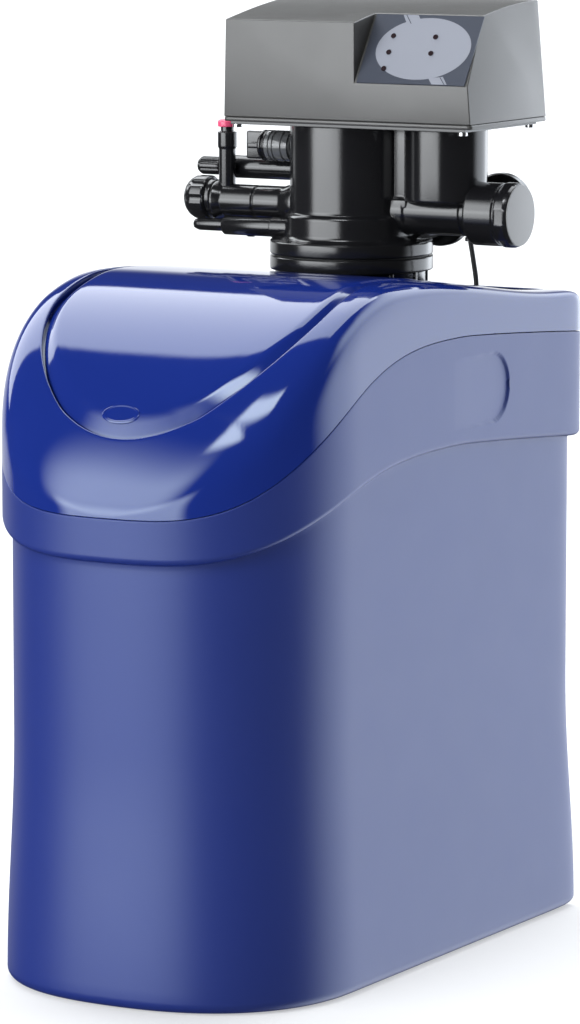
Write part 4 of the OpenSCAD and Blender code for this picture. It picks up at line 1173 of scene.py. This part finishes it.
    def drain(self) -> bpy.types.Object:
        """Makes the drain spigot with its thinner, chamfered end.

        Returns:
            The spigot.
        """
        x0, x1 = self.drain_x
        r = self.drain_r
        tip, step = self.drain_end
        bore = tip - 1.8
        profile = [(bore, x0), (tip - 1.2, x0), (tip, x0 + 3.5), (tip, step), (r - 0.8, step + 0.4),
                   (r, step + 1.4), (r, x1), (bore, x1)]
        shape = turned(profile, (0, self.drain_y, self.drain_z), Axis.X, 64, closed=True)
        nub = block((x0 + 40, self.drain_y - 1.4, self.drain_z - r - 0.6),
                    (x0 + 45, self.drain_y + 1.4, self.drain_z - r + 1), 0.5)
        return self.black("drain_tube", joined(shape, nub), "cabinet", "drain_spigot")

    def vent(self) -> bpy.types.Object:
        """Makes the vent stem with its sleeve and the post that carries the button.

        Returns:
            The stem.
        """
        low, mid, high = self.vent_z
        r, sleeve = self.vent_r, self.sleeve_r
        post_r, post_z = self.post
        profile = rounded([(0.0, low), (r, low), (r, mid - 1), (sleeve, mid), (sleeve, high),
                           (post_r, high), (post_r, post_z), (0.0, post_z)], 0.8)
        return self.black("vent_tube", turned(profile, (self.vent_x, self.axis_y, 0), Axis.Z, 64),
                          "cabinet", "vent_stem")

    def button(self) -> bpy.types.Object:
        """Makes the hollow button that slides on the vent's post.

        Returns:
            The button.
        """
        low, high = self.button_z
        bore = self.post[0] + 0.3
        profile = rounded([(0.0, high - 0.7), (bore, high - 0.7), (bore, low), (self.sleeve_r, low),
                           (self.sleeve_r, high - 1.0), (self.sleeve_r - 1.4, high), (0.0, high)], 0.8)
        shape = turned(profile, (self.vent_x, self.axis_y, 0), Axis.Z, 64)
        piece = new_piece("vent_cap", shape, RED_BUTTON, "vent_button", 42)
        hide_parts("vent_button")
        return piece


@dataclass
class ControlHead:
    """Grey head cover with its lip, sloped panel and pale fields."""

    x0: float = -66.0
    x1: float = 115.5
    y0: float = 49.0
    y1: float = 154.0
    z0: float = 529.0
    front_z: float = 595.0
    rise: float = 12.0
    wall: float = 3.0
    panel_x: float = 31.0
    panel_z: float = 556.0
    lean: float = 28.0
    label_t: float = 0.86
    edge_r: float = 3.0
    lip_h: float = 2.8
    lip_gap: float = 0.15
    lip_out: float = 0.4
    draft: tuple[float, float] = (1.4, 5.7)
    field_at: tuple[float, float] = (74.0, 26.3)
    field_half: tuple[float, float] = (34.0, 22.6)
    tab_top: tuple = ((52.5, 50.8), (63.5, 50.8), (67.0, 46.0), (57.0, 44.0))
    tab_low: tuple = ((87.5, 0.8), (98.5, 0.8), (94.0, 6.5), (84.0, 5.0))
    line_top: tuple = ((54.5, 50.8), (59.5, 44.5))
    line_low: tuple = ((96.3, 0.8), (91.8, 6.0))
    line_w: float = 0.7

    def top(self, y: float) -> float:
        """Height of the top at a depth."""
        share = min(1.0, max(0.0, (y - self.y0) / (self.y1 - self.y0)))
        return self.front_z + self.rise * math.sin(math.pi / 2 * share)

    def on_panel(self, x: float, v: float, lift: float) -> np.ndarray:
        """A point on the sloped panel.

        Args:
            x: Place across.
            v: Distance up the slope.
            lift: Height over the panel.

        Returns:
            The point.
        """
        slope = np.array([0.0, self.lean, self.top(self.y0 + self.lean) - self.panel_z])
        slope /= np.linalg.norm(slope)
        out = np.array([0.0, -slope[2], slope[1]])
        return np.array([x, self.y0, self.panel_z]) + v * slope + lift * out

    def faces(self, shape: bmesh.types.BMesh) -> None:
        """Adds the outer faces of the cover, open below.

        Args:
            shape: The mesh to fill.
        """
        foot = self.z0 + self.lip_h + self.lip_gap
        back = self.y0 + self.lean
        ahead = [self.y0 + t * self.lean for t in (0.33, 0.66)]
        behind = [back + t * (self.y1 - back) for t in np.linspace(0, 1, 10)]
        crown = [(y, self.top(y)) for y in behind]
        brow = [(y, self.top(y)) for y in ahead]
        height = self.front_z - self.z0

        def row(x: float, draft: float, profile: Profile) -> list[bmesh.types.BMVert]:
            """Adds a profile at one place across, leaning by its draft."""
            return [shape.verts.new(((x + draft * (z - self.z0) / height) * MM, y * MM, z * MM))
                    for y, z in profile]

        left = row(self.x0, self.draft[0], [(self.y0, foot), (self.y0, self.front_z), *brow, *crown,
                                            (self.y1, foot)])
        mid = row(self.panel_x, 0.0, [(self.y0, foot), (self.y0, self.panel_z), (self.y0, self.front_z),
                                      *brow, *crown, (self.y1, foot)])
        right = row(self.x1, -self.draft[1], [(self.y0, foot), (self.y0, self.panel_z), *crown,
                                              (self.y1, foot)])
        n = len(crown)
        for ring in (left[::-1], right, [left[0], mid[0], mid[1], mid[2], left[1]],
                     [mid[0], right[0], right[1], mid[1]], [mid[1], right[1], right[2], mid[5]], mid[1:6],
                     [left[-2], left[-1], mid[-1], mid[-2]], [mid[-2], mid[-1], right[-1], right[-2]]):
            shape.faces.new(ring)
        for i in range(n + 1):
            shape.faces.new([left[1 + i], mid[2 + i], mid[3 + i], left[2 + i]])
        for i in range(n - 1):
            shape.faces.new([mid[5 + i], right[2 + i], right[3 + i], mid[6 + i]])

    def build(self) -> list[bpy.types.Object]:
        """Makes the head cover as a shell with rounded edges, and its lip.

        Returns:
            The cover and the lip.
        """
        shape = bmesh.new()
        self.faces(shape)
        bmesh.ops.recalc_face_normals(shape, faces=shape.faces)
        mesh = bpy.data.meshes.new("head_shell")
        shape.to_mesh(mesh)
        shape.free()
        cover = bpy.data.objects.new("head_shell", mesh)
        bpy.context.scene.collection.objects.link(cover)
        solid = cover.modifiers.new("wall", "SOLIDIFY")
        solid.thickness = self.wall * MM
        solid.offset = -1
        soft = cover.modifiers.new("edges", "BEVEL")
        soft.width = self.edge_r * MM
        soft.segments = 5
        soft.limit_method = "ANGLE"
        soft.angle_limit = math.radians(24)
        bpy.context.view_layer.update()
        graph = bpy.context.evaluated_depsgraph_get()
        cover.data = bpy.data.meshes.new_from_object(cover.evaluated_get(graph))
        cover.modifiers.clear()
        settle(cover, GREY_COVER, "cabinet", 30)
        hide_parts("head_cover")
        return [cover, self.lip()]

    def lip(self) -> bpy.types.Object:
        """Makes the lip under the cover's parting line.

        Returns:
            The lip.
        """
        rings = []
        for grow, z in ((0.0, self.z0), (self.lip_out, self.z0 + 0.5),
                        (self.lip_out, self.z0 + self.lip_h - 0.5), (0.0, self.z0 + self.lip_h),
                        (-self.wall + 0.2, self.z0 + self.lip_h), (-self.wall + 0.2, self.z0)):
            rings.append(round_frame(self.x0 - grow, self.x1 + grow, self.y0 - grow, self.y1 + grow,
                                     self.edge_r, z))
        return new_piece("head_lip", skin(np.array(rings), True), GREY_COVER, "cabinet", 50)

    def inlay(self, name: str, outline: Profile, finish: Finish, lift: float) -> bpy.types.Object:
        """Makes a thin shape on the panel.

        Args:
            name: The piece's name.
            outline: Points across and up the slope.
            finish: The piece's finish.
            lift: Height of its underside over the label.

        Returns:
            The shape.
        """
        heights = (self.label_t + lift, self.label_t + lift + 0.1)
        rings = np.array([[self.on_panel(x, v, h) for x, v in outline] for h in heights])
        return new_piece(name, skin(rings), finish, "cabinet")

    def dress(self) -> list[bpy.types.Object]:
        """Makes the plain fields and lines on the panel.

        Returns:
            The pieces.
        """
        (x, v), (a, b) = self.field_at, self.field_half
        turn = np.linspace(0, 2 * np.pi, 96, endpoint=False)
        oval = [(x + a * math.cos(t), v + b * math.sin(t)) for t in turn]
        made = [self.inlay("panel_field", oval, PALE_PRINT, 0.02)]
        for name, outline in (("panel_tab_top", self.tab_top), ("panel_tab_low", self.tab_low)):
            made.append(self.inlay(name, outline, PALE_PRINT, 0.03))
        for name, line in (("panel_line_top", self.line_top), ("panel_line_low", self.line_low)):
            (x0, v0), (x1, v1) = line
            outline = [(x0, v0), (x0 + self.line_w, v0), (x1 + self.line_w, v1), (x1, v1)]
            made.append(self.inlay(name, outline, PANEL_FILM, 0.14))
        return made


@dataclass
class Carried:
    """Solids that keep their shape and get a finish."""

    frame: dict
    finishes: dict = field(default_factory=lambda: {
        "blue_plastic": BLUE_GLOSS, "black_plastic": BLACK_MOULDING, "grey_plastic": GREY_COVER,
        "white_plastic": WHITE_MOULDING, "clear_plastic": CLEAR_BOWL, "red_plastic": RED_BUTTON,
        "steel": BRIGHT_STEEL, "rubber": SOFT_RUBBER, "resin_beads": RESIN_BEADS, "label": PANEL_FILM,
        "lens": LAMP_LENS, "board": GREEN_BOARD})

    def dress(self) -> None:
        """Puts each solid's finish on it by its material slot."""
        for part in self.frame["record"]["subparts"]:
            solid = self.frame["nodes"][part["node"]]
            solid.data.materials.clear()
            solid.data.materials.append(self.finishes[part["material_slot"]].material())
            LOG.info("%s: %s", part["node"], part["material_slot"])


@dataclass(frozen=True)
class Glow:
    """A far, soft patch of light: its turn from the front to the right, and its heights, in degrees."""

    turn: float
    half: float
    low: float
    high: float
    power: float
    soft: float = 5.0


@dataclass
class Surroundings:
    """Soft studio light from all round, made of far patches and a roof box."""

    tint: tuple[float, float, float] = (0.94, 0.97, 1.0)
    side_tint: tuple[float, float, float] = (0.93, 0.99, 1.07)
    ambient: float = 0.06
    glows: tuple = (Glow(-21, 27, -12, 12, 6.6), Glow(-30, 18, 8, 40, 7.0, 12),
                    Glow(-150, 45, -10, 12, 1.2, 8), Glow(0, 18, 47, 58, 14.0, 3))
    side_glows: tuple = (Glow(150, 30, -60, 20, 3.2, 13), Glow(150, 42, 20, 45, 4.0, 10))
    roof_across: tuple[float, float] = (-4.0, 0.2)
    roof_along: tuple[float, float] = (0.05, 1.04)
    roof_soft: float = 0.03
    roof_power: float = 5.2

    def build(self) -> bpy.types.World:
        """Makes the world.

        Returns:
            The world.
        """
        world = bpy.data.worlds.new("studio")
        world.use_nodes = True
        bpy.context.scene.world = world
        tree = world.node_tree
        way = tree.nodes.new("ShaderNodeTexCoord").outputs["Generated"]
        parts = tree.nodes.new("ShaderNodeSeparateXYZ")
        tree.links.new(way, parts.inputs[0])
        front = self.sum(tree, "ADD", self.roof(tree, *parts.outputs), self.ambient)
        for glow in self.glows:
            front = self.sum(tree, "ADD", front, self.patch(tree, way, parts.outputs[2], glow))
        side = self.patch(tree, way, parts.outputs[2], self.side_glows[0])
        for glow in self.side_glows[1:]:
            side = self.sum(tree, "ADD", side, self.patch(tree, way, parts.outputs[2], glow))
        both = tree.nodes.new("ShaderNodeAddShader")
        for slot, (tint, power) in enumerate(((self.tint, front), (self.side_tint, side))):
            back = tree.nodes.new("ShaderNodeBackground")
            back.inputs["Color"].default_value = (*tint, 1)
            tree.links.new(power, back.inputs["Strength"])
            tree.links.new(back.outputs[0], both.inputs[slot])
        tree.links.new(both.outputs[0], tree.nodes["World Output"].inputs["Surface"])
        return world

    def sum(self, tree: bpy.types.NodeTree, kind: str, a: bpy.types.NodeSocket,
            b: bpy.types.NodeSocket | float) -> bpy.types.NodeSocket:
        """Adds a step of arithmetic.

        Args:
            tree: The world's nodes.
            kind: The operation.
            a: First value.
            b: Second value, linked or plain.

        Returns:
            The result.
        """
        node = tree.nodes.new("ShaderNodeMath")
        node.operation = kind
        tree.links.new(a, node.inputs[0])
        if isinstance(b, (int, float)):
            node.inputs[1].default_value = b
        else:
            tree.links.new(b, node.inputs[1])
        return node.outputs[0]

    def ease(self, tree: bpy.types.NodeTree, value: bpy.types.NodeSocket, start: float,
             end: float) -> bpy.types.NodeSocket:
        """Eases a value from 0 at the start to 1 at the end.

        Args:
            tree: The world's nodes.
            value: The value.
            start: Where the result is 0.
            end: Where the result is 1.

        Returns:
            The result.
        """
        span = tree.nodes.new("ShaderNodeMapRange")
        span.interpolation_type = "SMOOTHSTEP"
        span.inputs["From Min"].default_value = start
        span.inputs["From Max"].default_value = end
        tree.links.new(value, span.inputs["Value"])
        return span.outputs["Result"]

    def between(self, tree: bpy.types.NodeTree, value: bpy.types.NodeSocket, low: tuple[float, float],
                high: tuple[float, float]) -> bpy.types.NodeSocket:
        """Is 1 between two soft bounds and 0 outside.

        Args:
            tree: The world's nodes.
            value: The value.
            low: Where the lower bound starts and ends.
            high: Where the upper bound starts and ends.

        Returns:
            The result.
        """
        rise = self.ease(tree, value, *low)
        drop = self.ease(tree, value, high[1], high[0])
        return self.sum(tree, "MULTIPLY", rise, drop)

    def patch(self, tree: bpy.types.NodeTree, way: bpy.types.NodeSocket, height: bpy.types.NodeSocket,
              glow: Glow) -> bpy.types.NodeSocket:
        """Light of one patch.

        Args:
            tree: The world's nodes.
            way: Direction of the ray.
            height: Its upward share.
            glow: The patch.

        Returns:
            The patch's strength.
        """
        level = tree.nodes.new("ShaderNodeVectorMath")
        level.operation = "MULTIPLY"
        level.inputs[1].default_value = (1, 1, 0)
        tree.links.new(way, level.inputs[0])
        unit = tree.nodes.new("ShaderNodeVectorMath")
        unit.operation = "NORMALIZE"
        tree.links.new(level.outputs[0], unit.inputs[0])
        face = tree.nodes.new("ShaderNodeVectorMath")
        face.operation = "DOT_PRODUCT"
        turn = math.radians(glow.turn)
        face.inputs[1].default_value = (math.sin(turn), -math.cos(turn), 0)
        tree.links.new(unit.outputs[0], face.inputs[0])
        edge = [math.cos(math.radians(glow.half + s)) for s in (glow.soft, -glow.soft)]
        low, high = ([math.sin(math.radians(v + s)) for s in (-glow.soft, glow.soft)]
                     for v in (glow.low, glow.high))
        mask = self.sum(tree, "MULTIPLY", self.ease(tree, face.outputs["Value"], *edge),
                        self.between(tree, height, low, high))
        return self.sum(tree, "MULTIPLY", mask, glow.power)

    def roof(self, tree: bpy.types.NodeTree, x: bpy.types.NodeSocket, y: bpy.types.NodeSocket,
             z: bpy.types.NodeSocket) -> bpy.types.NodeSocket:
        """Light of the box overhead, which ends above the object.

        Args:
            tree: The world's nodes.
            x: Share of the ray to the right.
            y: Share of the ray to the back.
            z: Share of the ray upwards.

        Returns:
            The box's strength.
        """
        masks = []
        for share, (low, high) in ((x, self.roof_across), (y, self.roof_along)):
            slope = self.sum(tree, "DIVIDE", share, self.sum(tree, "MAXIMUM", z, 0.02))
            soft = self.roof_soft
            masks.append(self.between(tree, slope, (low - soft, low + soft), (high - soft, high + soft)))
        both = self.sum(tree, "MULTIPLY", masks[0], masks[1])
        up = self.sum(tree, "MULTIPLY", both, self.ease(tree, z, 0.0, 0.1))
        return self.sum(tree, "MULTIPLY", up, self.roof_power)


@dataclass
class Studio:
    """Camera, floor and view."""

    eye: tuple[float, float, float] = (1.6617, -2.8574, 0.7534)
    turn: float = 30.0
    pitch: float = 8.1
    lens: float = 182.8

    def camera(self) -> bpy.types.Object:
        """Makes the camera at the photograph's angle.

        Returns:
            The camera.
        """
        data = bpy.data.cameras.new("view")
        data.lens = self.lens
        data.sensor_width = 36.0
        data.clip_end = 200.0
        camera = bpy.data.objects.new("view", data)
        bpy.context.scene.collection.objects.link(camera)
        camera.location = self.eye
        camera.rotation_euler = (math.radians(90 - self.pitch), 0, math.radians(self.turn))
        bpy.context.scene.camera = camera
        return camera

    def build(self) -> bpy.types.Object:
        """Makes the floor and the light round it.

        Returns:
            The floor.
        """
        bpy.ops.mesh.primitive_plane_add(size=80, location=(0, 0, -0.0005))
        floor = bpy.context.object
        floor.name = "floor"
        floor.data.materials.append(PALE_FLOOR.material())
        floor.visible_glossy = False
        Surroundings().build()
        bpy.context.scene.view_settings.view_transform = "Standard"
        return floor


def main() -> None:
    """Builds the scene in order."""
    logging.basicConfig(level=logging.INFO, format="%(message)s")
    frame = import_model()
    studio = Studio()
    studio.camera()
    Carried(frame).dress()
    form = ShellForm()
    Cabinet(form).build()
    TopCover(form).build()
    lid = SaltLid(form)
    lid.build()
    lid.dress()
    Lines().build()
    Valve().build()
    Fittings().build()
    head = ControlHead()
    head.build()
    head.dress()
    studio.build()


if __name__ == "__main__":
    main()
